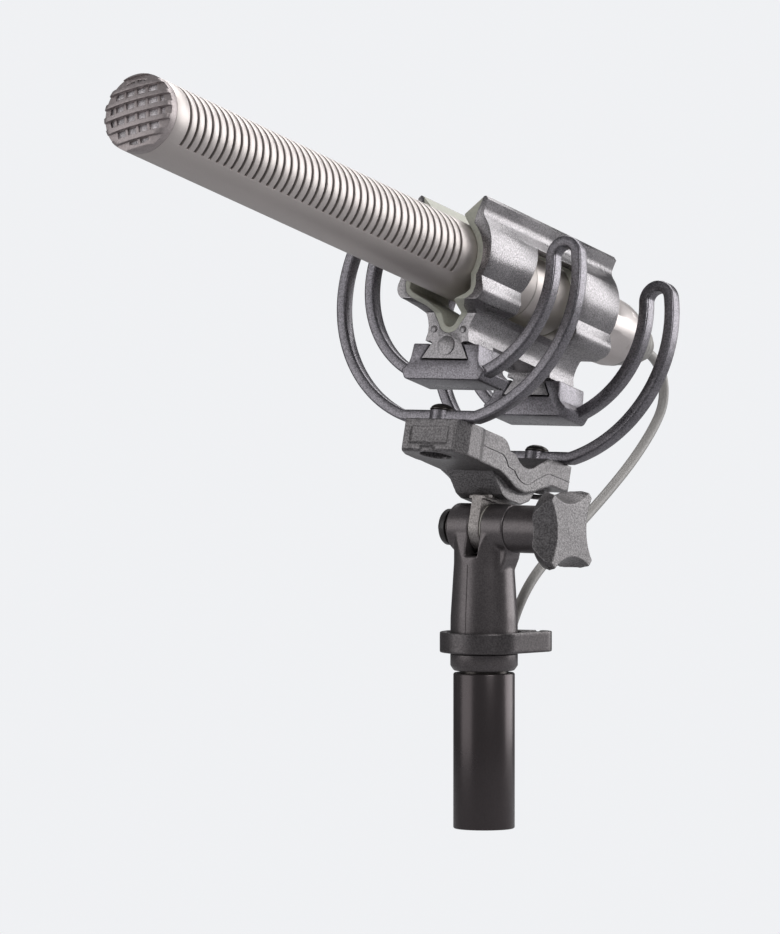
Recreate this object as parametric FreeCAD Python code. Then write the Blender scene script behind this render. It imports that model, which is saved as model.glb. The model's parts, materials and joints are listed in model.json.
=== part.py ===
import FreeCAD, Part
import math
import os
from FreeCAD import Base

# A short shotgun condenser microphone in a two-lyre suspension, on a swivel and a stand tube.
# Units are millimetres. +Z is up along the stand tube, the origin is the centre of the tube's
# lower end, the tilt hinge runs along X with its knob on the +X side, and the microphone
# looks towards -Y with its nose raised.
# Microphone, clip, lyres and bar are drawn in the microphone's own frame:
# x across, y along the axis from the front rim to the cable end, z square to both.

OUT_DIR = "parts"

# ---- overall layout ----
TILT_DEG = 15.0              # nose raised above the horizontal
CROSS_Y = 151.3              # distance along the axis where it crosses the stand tube's line
CROSS_HEIGHT = 138.65        # height of that crossing
HINGE_HEIGHT = 75.2
SLIP = 0.05                  # radial clearance of a running fit

# ---- microphone ----
MIC_R = 9.5
MIC_WALL = 0.9
CAP_LENGTH = 3.2
CAP_DOME = 1.2
SLOT_COUNT = 40
SLOT_FIRST = 8.4
SLOT_PITCH = 3.0
SLOT_WIDTH = 0.95
SLOT_MID_DEG = 18.0          # middle of the slots on the +X side
SLOT_SPAN_DEG = 112.0
GRID_TURN_DEG = 14.0
GRID_PITCH = 3.1
GRID_GAP = 2.0
GRID_DEPTH = 1.0             # depth of the grooves between the bars
UPRIGHT_DEPTH = 0.6
UPRIGHT_WIDTH = 0.66
MESH_THICK = 0.3
FRONT_BODY_END = 161.0
MIC_END = 178.0

# ---- cable connector and cable ----
SHELL_END = 213.0
BOOT_END = 228.0
CABLE_R = 1.3
CABLE_BORE_R = CABLE_R + SLIP

# ---- clip ----
CLIP_FRONT = 133.0
CLIP_REAR = 193.7
FOOT_FRONT = 139.4
FOOT_LENGTH = 11.4
REAR_FOOT_FRONT = 177.5
WINDOW_FRONT = 153.0
WINDOW_REAR = 177.0
WINDOW_TOP = 7.6
WINDOW_BOTTOM = -11.8
POST_HALF = 6.4
FOOT_NECK_Z = -20.6
FOOT_BOTTOM_Z = -24.6
FOOT_NECK_HALF = 4.3
FOOT_HALF = 6.7

# ---- lyres ----
LYRE_STRAP = 2.8             # strap thickness in the lyre's own plane
LYRE_DEPTH = 3.6             # strap depth along the axis
OUTER_LOOP_R = 34.6
OUTER_LOOP_Z = -6.0
INNER_LOOP_R = 26.7
INNER_LOOP_Z = -3.2
TURN_Z = 2.2                 # height of the U-turn's centre
LYRE_BOTTOM_Z = -40.3
PLATFORM_DEPTH = 11.6
PLATFORM_BOTTOM_Z = -30.0
PLATFORM_HALF = 10.2
EAR_TOP_Z = -20.9
SOCKET_GAP = 0.35
STRAP_SETBACK = 0.9
FRONT_PLATFORM_Y = 139.3
REAR_PLATFORM_Y = 177.4

# ---- bar ----
BAR_TOP_Z = LYRE_BOTTOM_Z
BAR_FRONT = 137.7
BAR_REAR = 190.5
BAR_HALF = 9.0
BLOCK_HALF = 9.5
BOSS_HALF = 7.0
BOSS_BOTTOM_Z = -54.3

# ---- swivel ----
HEAD_LEFT = -7.65
HEAD_RIGHT = 9.2
HEAD_R = 6.1
SLOT_CENTRE = 0.8            # the tongue sits a little towards the knob
TONGUE_THICK = 2.9
TONGUE_R = 6.2
WASHER_THICK = 0.3
COLUMN_TOP_R = 7.55
COLUMN_R = 8.45
COLUMN_FOOT = 48.2
NECK_R = 7.0
COLLAR_BOTTOM = 39.6
COLLAR_TOP = 43.95
BOLT_R = 2.5
SPACER_END = 20.1
KNOB_ROOT_R = 10.0           # lobes at the knob's inner end
KNOB_LOBE_START = 24.1
KNOB_END = 26.2
KNOB_DISC_R = 9.2            # depth of the hollows where they run out
KNOB_LOBE_R = 12.0
KNOB_WAIST = 6.6             # from the axis to the middle of each hollow
KNOB_HOLLOW_R = 13.0

# ---- cable clip ring ----
RING_R = 11.1
RING_BOTTOM = 44.05
RING_TOP = 49.3
RING_WEB_TOP = 48.1
EAR_DISTANCE = 13.2
EAR_R = 4.2
EAR_BORE_R = 1.6
EAR_DEG = 48.0

# ---- stand tube ----
TUBE_R = 7.7
TUBE_WALL = 1.2
TUBE_TOP = 39.0
STUD_R = 4.7
THREAD_R = 4.0               # tapped hole for a 3/8 inch stand thread
THREAD_LENGTH = 12.0


def vec(x, y, z):
    return Base.Vector(x, y, z)


X_AXIS = vec(1, 0, 0)
Y_AXIS = vec(0, 1, 0)
Z_AXIS = vec(0, 0, 1)
TILT = math.radians(TILT_DEG)
MIC_ORIGIN = vec(0, -CROSS_Y * math.cos(TILT), CROSS_HEIGHT + CROSS_Y * math.sin(TILT))
MIC_PLACE = Base.Placement(MIC_ORIGIN, Base.Rotation(X_AXIS, -TILT_DEG))
HINGE = vec(0, 0, HINGE_HEIGHT)
HINGE_IN_MIC = MIC_PLACE.inverse().multVec(HINGE)


# ---- small helpers ----

def save(name, solids, in_mic_frame=False):
    """Write one node; a list becomes a group of separate solids."""
    if isinstance(solids, list):
        shape = Part.makeCompound(solids)
    else:
        shape = solids
    if in_mic_frame:
        shape = shape.copy()
        shape.Placement = MIC_PLACE.multiply(shape.Placement)
    for solid in shape.Solids:
        if not solid.isValid():
            print("not valid:", name)
    print("%-22s solids %d volume %.2f" % (name, len(shape.Solids), shape.Volume))
    shape.exportStep(os.path.join(OUT_DIR, name + ".step"))
    return shape


def rod(radius, start, end, axis=Y_AXIS, at=vec(0, 0, 0)):
    """Cylinder along an axis between two distances from a point."""
    base = at + axis * start
    return Part.makeCylinder(radius, end - start, base, axis)


def tube(outer, inner, start, end, axis=Y_AXIS, at=vec(0, 0, 0)):
    return rod(outer, start, end, axis, at).cut(rod(inner, start - 1, end + 1, axis, at))


def box(x0, x1, y0, y1, z0, z1):
    return Part.makeBox(x1 - x0, y1 - y0, z1 - z0, vec(x0, y0, z0))


def spin(profile, axis=Y_AXIS, at=vec(0, 0, 0)):
    """Turn a closed outline of (distance along, radius) points round an axis."""
    side = Z_AXIS if axis != Z_AXIS else X_AXIS
    points = [at + axis * along + side * radius for along, radius in profile]
    face = Part.Face(Part.makePolygon(points + points[:1]))
    return face.revolve(at, axis, 360)


def section_face(points, y):
    """Face from (x, z) points at one distance along the axis."""
    corners = [vec(x, y, z) for x, z in points]
    return Part.Face(Part.makePolygon(corners + corners[:1]))


def extrude_section(points, y0, y1):
    return section_face(points, y0).extrude(vec(0, y1 - y0, 0))


def extrude_side(points, x0, x1):
    """Solid from a (y, z) outline, drawn square to X."""
    corners = [vec(x0, y, z) for y, z in points]
    return Part.Face(Part.makePolygon(corners + corners[:1])).extrude(vec(x1 - x0, 0, 0))


def arc_points(centre, radius, start_deg, end_deg, steps):
    """Points on an arc, used where an outline stays a polygon."""
    result = []
    for step in range(steps + 1):
        angle = math.radians(start_deg + (end_deg - start_deg) * step / steps)
        result.append((centre[0] + radius * math.cos(angle), centre[1] + radius * math.sin(angle)))
    return result


def turned_about_axis(shape, degrees):
    turned = shape.copy()
    turned.rotate(vec(0, 0, 0), Y_AXIS, -degrees)
    return turned


# ---- microphone ----

def dome(inset=0.0):
    """Ball whose front passes through the rim and stands CAP_DOME ahead of it, less an inset."""
    radius = (MIC_R ** 2 + CAP_DOME ** 2) / (2 * CAP_DOME)
    return Part.makeSphere(radius - inset, vec(0, radius - CAP_DOME, 0))


def front_grille_cap():
    """Domed cap: bars across the front, thinner uprights behind them and a skirt into the tube."""
    blank = rod(MIC_R, -CAP_DOME, CAP_LENGTH).common(dome())
    rim = spin([(-CAP_DOME, 0), (-CAP_DOME, MIC_R - CAP_DOME - 0.5), (0.5, MIC_R),
                (CAP_LENGTH, MIC_R), (CAP_LENGTH, 0)])
    cap = blank.common(rim)
    cap = cap.cut(rod(8.2, -CAP_DOME, CAP_LENGTH + 1).common(dome(GRID_DEPTH + UPRIGHT_DEPTH)))
    rows = [(index - 2.5) * GRID_PITCH for index in range(6)]
    groove_bottom = dome(GRID_DEPTH)
    for z in rows:
        groove = box(-MIC_R, MIC_R, -2 * CAP_DOME, CAP_LENGTH - 0.6, z - GRID_GAP / 2, z + GRID_GAP / 2)
        cap = cap.cut(groove.cut(groove_bottom))
    inner = rod(8.0, -2 * CAP_DOME, 3)
    for row_z in rows:
        for column in range(6):
            x = (column - 2.5) * GRID_PITCH
            half = (GRID_PITCH - UPRIGHT_WIDTH) / 2
            window = box(x - half, x + half, -2 * CAP_DOME, 3, row_z - GRID_GAP / 2, row_z + GRID_GAP / 2)
            cap = cap.cut(window.common(inner))
    skirt = tube(MIC_R - MIC_WALL, 8.0, CAP_LENGTH, CAP_LENGTH + 2.6)
    cap = cap.fuse(skirt).removeSplitter()
    return turned_about_axis(cap, GRID_TURN_DEG)


def grille_mesh():
    """Domed disc of fine mesh lying against the back of the uprights."""
    front = GRID_DEPTH + UPRIGHT_DEPTH + 0.02
    return rod(7.95, -CAP_DOME, CAP_LENGTH).common(dome(front)).cut(dome(front + MESH_THICK))


def wall_sector(y0, y1, middle_deg, span_deg):
    """Part of the tube's wall: an angle about the axis, between two distances along it."""
    angle = math.radians(middle_deg - span_deg / 2)
    radii = [(y0, MIC_R - MIC_WALL), (y0, MIC_R), (y1, MIC_R), (y1, MIC_R - MIC_WALL)]
    corners = [vec(radius * math.cos(angle), y, radius * math.sin(angle)) for y, radius in radii]
    face = Part.Face(Part.makePolygon(corners + corners[:1]))
    return face.revolve(vec(0, 0, 0), vec(0, -1, 0), span_deg)


def interference_tube():
    """Full rings with a pair of slots between each two, joined by the strips beside the slots."""
    front = wall_sector(CAP_LENGTH, SLOT_FIRST, SLOT_MID_DEG, 360)
    pieces = []
    for index in range(SLOT_COUNT):
        start = SLOT_FIRST + index * SLOT_PITCH
        last = index == SLOT_COUNT - 1
        end = FRONT_BODY_END if last else start + SLOT_PITCH
        pieces.append(wall_sector(start + SLOT_WIDTH, end, SLOT_MID_DEG, 360))
        for middle in (SLOT_MID_DEG + 90, SLOT_MID_DEG + 270):
            pieces.append(wall_sector(start, start + SLOT_WIDTH, middle, 180 - SLOT_SPAN_DEG))
    return front.multiFuse(pieces)


def rear_body():
    """Rear tube with its joint spigot, open at the back for the cable connector."""
    body = tube(MIC_R, 8.1, FRONT_BODY_END + 0.25, MIC_END)
    spigot = tube(MIC_R - MIC_WALL, 7.6, FRONT_BODY_END - 5, FRONT_BODY_END + 1)
    return body.fuse(spigot).removeSplitter()


def capsule_parts():
    save("tube_lining", tube(8.55, 8.1, 6.0, 127.5), True)
    save("capsule_housing", tube(8.55, 7.7, 128.5, 142.5).fuse(rod(8.0, 141.0, 142.5)), True)
    save("diaphragm", rod(7.6, 130.2, 130.35), True)
    save("diaphragm_ring", tube(7.65, 6.6, 130.4, 131.0), True)
    plate = rod(7.5, 131.1, 132.1)
    holes = [rod(0.45, 131.0, 132.2, at=vec(x, 0, z)) for x, z in arc_points((0, 0), 4.6, 0, 300, 5)]
    save("backplate", plate.cut(Part.makeCompound(holes)), True)
    save("capsule_insulator", tube(7.6, 4.0, 132.2, 137.0), True)


def board_parts():
    save("circuit_board", box(-6.8, 6.8, 143.4, 163.0, -1.6, 0), True)
    can = rod(2.2, 0, 4.6, Z_AXIS, vec(-3.2, 147.5, 0))
    coil = box(0.8, 5.6, 146.0, 152.4, 0, 4.2)
    chip = box(-4.4, -0.6, 152.6, 157.4, 0, 1.5)
    small = [box(1.6, 3.4, 154.2 + row * 2.6, 155.6 + row * 2.6, 0, 0.9) for row in range(3)]
    save("board_components", [can, coil, chip] + small, True)
    sockets = arc_points((0, 0), 4.0, 90, 330, 2)
    carrier = rod(8.05, 163.2, 165.6)
    holes = [rod(1.2, 163, 166, at=vec(x, 0, z)) for x, z in sockets]
    save("pin_carrier", carrier.cut(Part.makeCompound(holes)), True)
    save("connector_pins", [rod(1.2, 163.2, 176.5, at=vec(x, 0, z)) for x, z in sockets], True)


# ---- cable connector ----

LATCH_Y0 = 183.0
LATCH_Y1 = 189.0
LATCH_HALF = 2.5
LATCH_BOTTOM_Z = 7.0
LATCH_TOP_Z = 10.1


def connector_shell():
    nose = tube(8.0, 7.1, 166.0, MIC_END + 0.2)
    shell = spin([(MIC_END + 0.2, 7.1), (MIC_END + 0.2, 9.35), (204.0, 9.0),
                  (SHELL_END, 8.5), (SHELL_END, 7.1)])
    shell = shell.fuse(nose)
    for index in range(6):
        angle = 30 + 60 * index
        recess = box(8.75, 10.5, 196.5, 209.0, -2.6, 2.6)
        shell = shell.cut(turned_about_axis(recess, angle))
    window = box(-LATCH_HALF - 0.15, LATCH_HALF + 0.15, LATCH_Y0 - 0.15, LATCH_Y1 + 0.15, 0, 12)
    return shell.cut(window)


def connector_inner_parts():
    sockets = arc_points((0, 0), 4.0, 90, 330, 2)
    insert = rod(7.05, 166.4, 195.0)
    holes = [rod(1.95, 166, 190.0, at=vec(x, 0, z)) for x, z in sockets]
    pocket = box(-3.6, 3.6, 180.0, 192.0, 4.6, 9)
    contact_hole = rod(1.95, 166, 180.0, at=vec(0, 0, 4.0))
    insert = insert.cut(Part.makeCompound(holes[1:])).cut(contact_hole).cut(pocket)
    save("connector_insert", insert, True)
    contacts = []
    for index, (x, z) in enumerate(sockets):
        length = 179.8 if index == 0 else 189.8
        contacts.append(tube(1.9, 1.25, 167.0, length, at=vec(x, 0, z)))
    save("connector_contacts", contacts, True)
    button = box(-LATCH_HALF, LATCH_HALF, LATCH_Y0, LATCH_Y1, LATCH_BOTTOM_Z, LATCH_TOP_Z)
    save("latch_button", button, True)
    leaf_side = [(180.4, 4.7), (191.6, 4.7), (191.6, 5.1), (184.6, 6.0), (183.6, 6.0), (180.4, 5.1)]
    leaf = extrude_side(leaf_side, -1.6, 1.6)
    save("latch_spring", leaf, True)
    chuck = spin([(197.0, CABLE_R), (197.0, 6.9), (210.0, 6.9), (212.6, 5.6), (212.6, CABLE_R)])
    save("cable_chuck", chuck, True)


def connector_boot():
    """Ribbed rubber boot with a plain bore for the cable."""
    outline = [(SHELL_END, CABLE_BORE_R), (SHELL_END, 8.1)]
    ribs = 5
    pitch = (BOOT_END - SHELL_END - 2.0) / ribs
    for index in range(ribs):
        radius = 8.1 - 3.9 * index / ribs
        start = SHELL_END + index * pitch
        outline += [(start + 0.62 * pitch, radius - 0.2), (start + 0.7 * pitch, radius - 0.9)]
        outline += [(start + 0.95 * pitch, radius - 1.1), (start + pitch, radius - 0.78)]
    outline += [(BOOT_END - 0.4, 3.5), (BOOT_END, 3.0), (BOOT_END, CABLE_BORE_R)]
    return spin(outline)


# ---- clip ----

def clip_outer_half():
    """Right half of the clip's outer outline, from the arm's tip down to the foot."""
    side = arc_points((0.6, 1.4), 12.9, 41, -26, 9)
    lobe = arc_points((9.6, -8.2), 3.1, 25, -75, 5)
    points = [(9.0, 15.2), (9.7, 15.4), (10.5, 14.5), (9.5, 10.9)] + side
    points += [(11.9, -5.0)] + lobe + [(8.4, -12.4), (POST_HALF, -14.6), (POST_HALF, -20.2)]
    points += [(5.0, -20.2), (FOOT_NECK_HALF, FOOT_NECK_Z), (FOOT_HALF, FOOT_BOTTOM_Z)]
    return points


def clip_seat_half():
    """Right half of the line between the hard clip and its soft liner."""
    side = arc_points((0, 0), 11.2, 49, -25, 9)
    channel = arc_points((0, -14.8), 3.3, -20, -90, 4)
    return [(9.0, 15.2), (7.7, 10.9)] + side + [(10.5, -7.4), (9.9, -9.4), (8.6, -10.5), (5.6, -12.0)] + channel


def liner_inner_half():
    """Right half of the liner's inner face: ramp, seat on the microphone, pocket and channel."""
    seat = arc_points((0, 0), MIC_R + 0.03, 41, -28, 10)
    channel = arc_points((0, -14.6), 1.9, -20, -90, 4)
    return [(9.0, 15.2), (4.0, 10.6)] + seat + [(8.9, -6.4), (9.0, -8.3), (8.0, -9.3), (4.1, -11.2)] + channel


def band(outer_half, inner_half):
    """Closed outline between two half outlines and their mirror images."""
    outer = outer_half + [(-x, z) for x, z in reversed(outer_half)]
    inner = inner_half + [(-x, z) for x, z in reversed(inner_half) if abs(x) > 1e-6]
    return outer + list(reversed(inner))[1:-1]


def window_cutters():
    """Spaces cut from clip and liner: side windows, cut-back ends and the gap between the feet."""
    side = [(WINDOW_FRONT - 2, WINDOW_BOTTOM), (WINDOW_FRONT - 2, -6), (WINDOW_FRONT + 2.6, WINDOW_TOP)]
    side += [(WINDOW_REAR, WINDOW_TOP), (WINDOW_REAR, WINDOW_BOTTOM)]
    window = extrude_side(side, -30, 30)
    front = extrude_side([(CLIP_FRONT - 5, -9.2), (CLIP_FRONT, -10.9), (FOOT_FRONT, -13.0), (FOOT_FRONT, -30),
                          (CLIP_FRONT - 5, -30)], -30, 30)
    rear_y = REAR_FOOT_FRONT + FOOT_LENGTH
    rear = extrude_side([(rear_y, -30), (rear_y, -13.0), (CLIP_REAR, -12.0), (CLIP_REAR + 5, -11),
                         (CLIP_REAR + 5, -30)], -30, 30)
    between = box(-30, 30, FOOT_FRONT + FOOT_LENGTH, REAR_FOOT_FRONT, -40, -19.0)
    return [window, front, rear, between]


def clip_pins():
    """Shallow round marks on the clip's front and rear faces."""
    marks = []
    for y in (FOOT_FRONT - 0.25, REAR_FOOT_FRONT + FOOT_LENGTH - 0.15):
        marks.append(rod(2.45, y, y + 0.4, at=vec(0, 0, -21.3)))
        marks += [rod(0.9, y, y + 0.4, at=vec(x, 0, -17.2)) for x in (-4.7, 4.7)]
    return marks


def clip_parts():
    blank = extrude_section(band(clip_outer_half(), clip_seat_half()), CLIP_FRONT, CLIP_REAR)
    shell = blank.cut(Part.makeCompound(window_cutters()))
    shell = shell.fuse(clip_pins()).removeSplitter()
    save("mic_clip", shell, True)
    liner = extrude_section(band(clip_seat_half(), liner_inner_half()), CLIP_FRONT, CLIP_REAR)
    save("clip_liner", liner.cut(Part.makeCompound(window_cutters())), True)


# ---- lyres ----

def turn_geometry():
    """Centre and radius of the U-turn that joins the outer and inner loops without a kink."""
    rise_outer = TURN_Z - OUTER_LOOP_Z
    rise_inner = TURN_Z - INNER_LOOP_Z
    total = OUTER_LOOP_R + INNER_LOOP_R
    radius = (OUTER_LOOP_R - INNER_LOOP_R - (rise_outer ** 2 - rise_inner ** 2) / total) / 2
    x = math.sqrt((OUTER_LOOP_R - radius) ** 2 - rise_outer ** 2)
    return x, radius


def lyre_strap_half(y):
    """Right half of the strap: bottom run, outer loop, U-turn and inner loop."""
    turn_x, turn_r = turn_geometry()
    half = LYRE_STRAP / 2
    outer_deg = math.degrees(math.atan2(TURN_Z - OUTER_LOOP_Z, turn_x))
    inner_deg = math.degrees(math.atan2(TURN_Z - INNER_LOOP_Z, turn_x))

    def on(radius, centre_z, degrees, x=0.0):
        angle = math.radians(degrees)
        return vec(x + radius * math.cos(angle), y, centre_z + radius * math.sin(angle))

    def arc(radius, centre_z, start, end, x=0.0):
        middle = (start + end) / 2
        ends = [on(radius, centre_z, value, x) for value in (start, middle, end)]
        return Part.Arc(ends[0], ends[1], ends[2]).toShape()

    top_z = LYRE_BOTTOM_Z + LYRE_STRAP
    bottom_out_deg = math.degrees(math.asin((LYRE_BOTTOM_Z - OUTER_LOOP_Z) / (OUTER_LOOP_R + half)))
    bottom_in_deg = math.degrees(math.asin((top_z - OUTER_LOOP_Z) / (OUTER_LOOP_R - half)))
    inner_end = -68.0
    outer_start = on(OUTER_LOOP_R + half, OUTER_LOOP_Z, bottom_out_deg)
    edges = [Part.LineSegment(vec(0, y, LYRE_BOTTOM_Z), outer_start).toShape()]
    edges.append(arc(OUTER_LOOP_R + half, OUTER_LOOP_Z, bottom_out_deg, outer_deg))
    edges.append(arc(turn_r + half, TURN_Z, outer_deg, 180 + inner_deg, turn_x))
    edges.append(arc(INNER_LOOP_R - half, INNER_LOOP_Z, inner_deg, inner_end))
    edges.append(Part.LineSegment(on(INNER_LOOP_R - half, INNER_LOOP_Z, inner_end),
                                  on(INNER_LOOP_R + half, INNER_LOOP_Z, inner_end)).toShape())
    edges.append(arc(INNER_LOOP_R + half, INNER_LOOP_Z, inner_end, inner_deg))
    edges.append(arc(turn_r - half, TURN_Z, 180 + inner_deg, outer_deg, turn_x))
    edges.append(arc(OUTER_LOOP_R - half, OUTER_LOOP_Z, outer_deg, bottom_in_deg))
    outer_end = on(OUTER_LOOP_R - half, OUTER_LOOP_Z, bottom_in_deg)
    edges.append(Part.LineSegment(outer_end, vec(0, y, top_z)).toShape())
    edges.append(Part.LineSegment(vec(0, y, top_z), vec(0, y, LYRE_BOTTOM_Z)).toShape())
    return Part.Face(Part.Wire(edges))


def platform_outline():
    """Platform with two ears and the dovetail socket between them."""
    half = [(FOOT_NECK_HALF + 2 * SOCKET_GAP, EAR_TOP_Z),
            (FOOT_HALF + SOCKET_GAP, FOOT_BOTTOM_Z - SOCKET_GAP)]
    outside = [(PLATFORM_HALF - 0.3, EAR_TOP_Z), (PLATFORM_HALF, -24.4), (10.7, -26.2), (12.6, -27.6),
               (11.0, PLATFORM_BOTTOM_Z)]
    right = list(reversed(half)) + outside
    return right + [(-x, z) for x, z in reversed(right)]


def lyre(platform_y, strap_y):
    right = lyre_strap_half(strap_y).extrude(vec(0, LYRE_DEPTH, 0))
    left = right.mirror(vec(0, 0, 0), X_AXIS)
    platform = extrude_section(platform_outline(), platform_y, platform_y + PLATFORM_DEPTH)
    middle = strap_y + LYRE_DEPTH / 2
    boss = rod(3.0, LYRE_BOTTOM_Z, LYRE_BOTTOM_Z + LYRE_STRAP, Z_AXIS, vec(0, middle, 0))
    body = right.fuse([left, platform, boss]).removeSplitter()
    return body.cut(rod(1.6, LYRE_BOTTOM_Z - 2, LYRE_BOTTOM_Z + LYRE_STRAP + 2, Z_AXIS, vec(0, middle, 0)))


def strap_places():
    """Front and rear strap positions: each platform reaches towards the middle of the clip."""
    front = FRONT_PLATFORM_Y + STRAP_SETBACK
    rear = REAR_PLATFORM_Y + PLATFORM_DEPTH - STRAP_SETBACK - LYRE_DEPTH
    return front, rear


def lyre_parts():
    front, rear = strap_places()
    save("front_lyre", lyre(FRONT_PLATFORM_Y, front), True)
    save("rear_lyre", lyre(REAR_PLATFORM_Y, rear), True)
    screws = []
    washers = []
    nuts = []
    seat = LYRE_BOTTOM_Z + LYRE_STRAP
    for strap_y in (front, rear):
        at = vec(0, strap_y + LYRE_DEPTH / 2, 0)
        washers.append(tube(3.1, 1.6, seat, seat + 0.4, Z_AXIS, at))
        ball = Part.makeSphere(4.2, at + vec(0, 0, seat + 0.4 - 2.9))
        head = ball.common(rod(2.9, seat + 0.4, seat + 2, Z_AXIS, at))
        socket = rod(1.0, seat + 1.0, seat + 3, Z_AXIS, at)
        shank = rod(1.45, BAR_TOP_Z - 6.2, seat + 0.5, Z_AXIS, at)
        screws.append(head.fuse(shank).cut(socket).removeSplitter())
        nuts.append(hexagon(2.7, at + vec(0, 0, BAR_TOP_Z - 5.6), 2.4).cut(rod(1.47, -60, -30, Z_AXIS, at)))
    save("lyre_washers", washers, True)
    save("lyre_screws", screws, True)
    save("lyre_nuts", nuts, True)


def hexagon(half_flats, centre, height, axis=Z_AXIS):
    """Hexagonal prism standing on a point, half_flats from centre to a flat."""
    radius = half_flats / math.cos(math.radians(30))
    corners = []
    for index in range(7):
        angle = math.radians(60 * index)
        if axis == Z_AXIS:
            corners.append(centre + vec(radius * math.cos(angle), radius * math.sin(angle), 0))
        else:
            corners.append(centre + vec(0, radius * math.cos(angle), radius * math.sin(angle)))
    return Part.Face(Part.makePolygon(corners)).extrude(axis * height)


# ---- bar ----

def bar_outline():
    """Side outline of the bar: flat at each screw, dipped between them."""
    top = [(BAR_FRONT, BAR_TOP_Z), (156.6, BAR_TOP_Z)]
    top += arc_points((156.8, -45.3), 5.0, 82, 30, 3)
    top += arc_points((169.3, -38.4), 6.9, 224, 312, 6)
    top += arc_points((181.2, -46.3), 6.0, 125, 93, 3)
    top += [(BAR_REAR - 0.6, BAR_TOP_Z), (BAR_REAR, BAR_TOP_Z - 0.6)]
    bottom = [(BAR_REAR, -46.4), (BAR_REAR - 0.6, -47.0), (181.5, -47.3)]
    bottom += [(177.5, -49.0), (173.6, -50.8), (169.6, -51.7), (165.4, -51.2), (161.6, -49.8), (157.5, -48.8)]
    bottom += [(BAR_FRONT + 0.6, -48.6), (BAR_FRONT, -48.0)]
    return top + bottom


def bar_screw_cuts():
    """Screw shank, nut pocket and open well at each lyre."""
    cuts = []
    for strap_y in strap_places():
        at = vec(0, strap_y + LYRE_DEPTH / 2, 0)
        cuts.append(rod(1.6, -60, -30, Z_AXIS, at))
        cuts.append(hexagon(2.75, at + vec(0, 0, -70), 70 + BAR_TOP_Z - 3.2))
        cuts.append(rod(4.0, -60, BAR_TOP_Z - 5.7, Z_AXIS, at))
    return cuts


def suspension_bar():
    outline = bar_outline()
    bar = extrude_side(outline, -BLOCK_HALF, BLOCK_HALF)
    plan = [(-7.6, BAR_FRONT), (7.6, BAR_FRONT), (BLOCK_HALF, 142.2), (BLOCK_HALF, 147.0), (BAR_HALF, 149.0)]
    plan += [(BAR_HALF, BAR_REAR - 1.2), (BAR_HALF - 1.2, BAR_REAR)]
    plan = plan + [(-x, y) for x, y in reversed(plan[2:])]
    corners = [vec(x, y, -60) for x, y in plan]
    keep = Part.Face(Part.makePolygon(corners + corners[:1])).extrude(vec(0, 0, 30))
    bar = bar.common(keep)
    boss_side = [(154.0, -46.0), (154.2, -48.6), (157.4, -48.9), (160.6, -51.4), (163.2, -53.6)]
    boss_side += [(165.6, BOSS_BOTTOM_Z), (172.0, BOSS_BOTTOM_Z), (175.6, -52.6), (178.6, -48.4), (178.6, -46.0)]
    boss = extrude_side(boss_side, -BOSS_HALF, BOSS_HALF)
    hinge_y = HINGE_IN_MIC.y
    socket = box(SLOT_CENTRE - 3.0, SLOT_CENTRE + 3.0, hinge_y - 4.0, hinge_y + 4.0, -60, -51.0)
    screw = rod(1.3, -60, -30, Z_AXIS, vec(SLOT_CENTRE, hinge_y, 0))
    head_room = rod(2.6, -47.0, -30, Z_AXIS, vec(SLOT_CENTRE, hinge_y, 0))
    bar = bar.fuse(boss).removeSplitter()
    return bar.cut(Part.makeCompound(bar_screw_cuts() + [socket, screw, head_room]))


def tongue_parts():
    hinge_y = HINGE_IN_MIC.y
    hinge_z = HINGE_IN_MIC.z
    x0 = SLOT_CENTRE - TONGUE_THICK / 2
    blade = box(x0, x0 + TONGUE_THICK, hinge_y - TONGUE_R, hinge_y + TONGUE_R, hinge_z, BOSS_BOTTOM_Z)
    round_end = rod(TONGUE_R, x0, x0 + TONGUE_THICK, X_AXIS, vec(0, hinge_y, hinge_z))
    key = box(SLOT_CENTRE - 2.9, SLOT_CENTRE + 2.9, hinge_y - 3.9, hinge_y + 3.9, BOSS_BOTTOM_Z, -51.05)
    tongue = blade.fuse([round_end, key]).removeSplitter()
    tongue = tongue.cut(rod(BOLT_R + SLIP, -10, 10, X_AXIS, vec(0, hinge_y, hinge_z)))
    tongue = tongue.cut(rod(1.0, -54.2, -50, Z_AXIS, vec(SLOT_CENTRE, hinge_y, 0)))
    save("swivel_tongue", tongue, True)
    at = vec(SLOT_CENTRE, hinge_y, 0)
    screw = rod(0.98, -54.0, -46.8, Z_AXIS, at).fuse(rod(2.4, -46.95, -45.6, Z_AXIS, at))
    save("tongue_screw", screw.cut(rod(1.0, -46.4, -45, Z_AXIS, at)).removeSplitter(), True)


# ---- swivel ----

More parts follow.
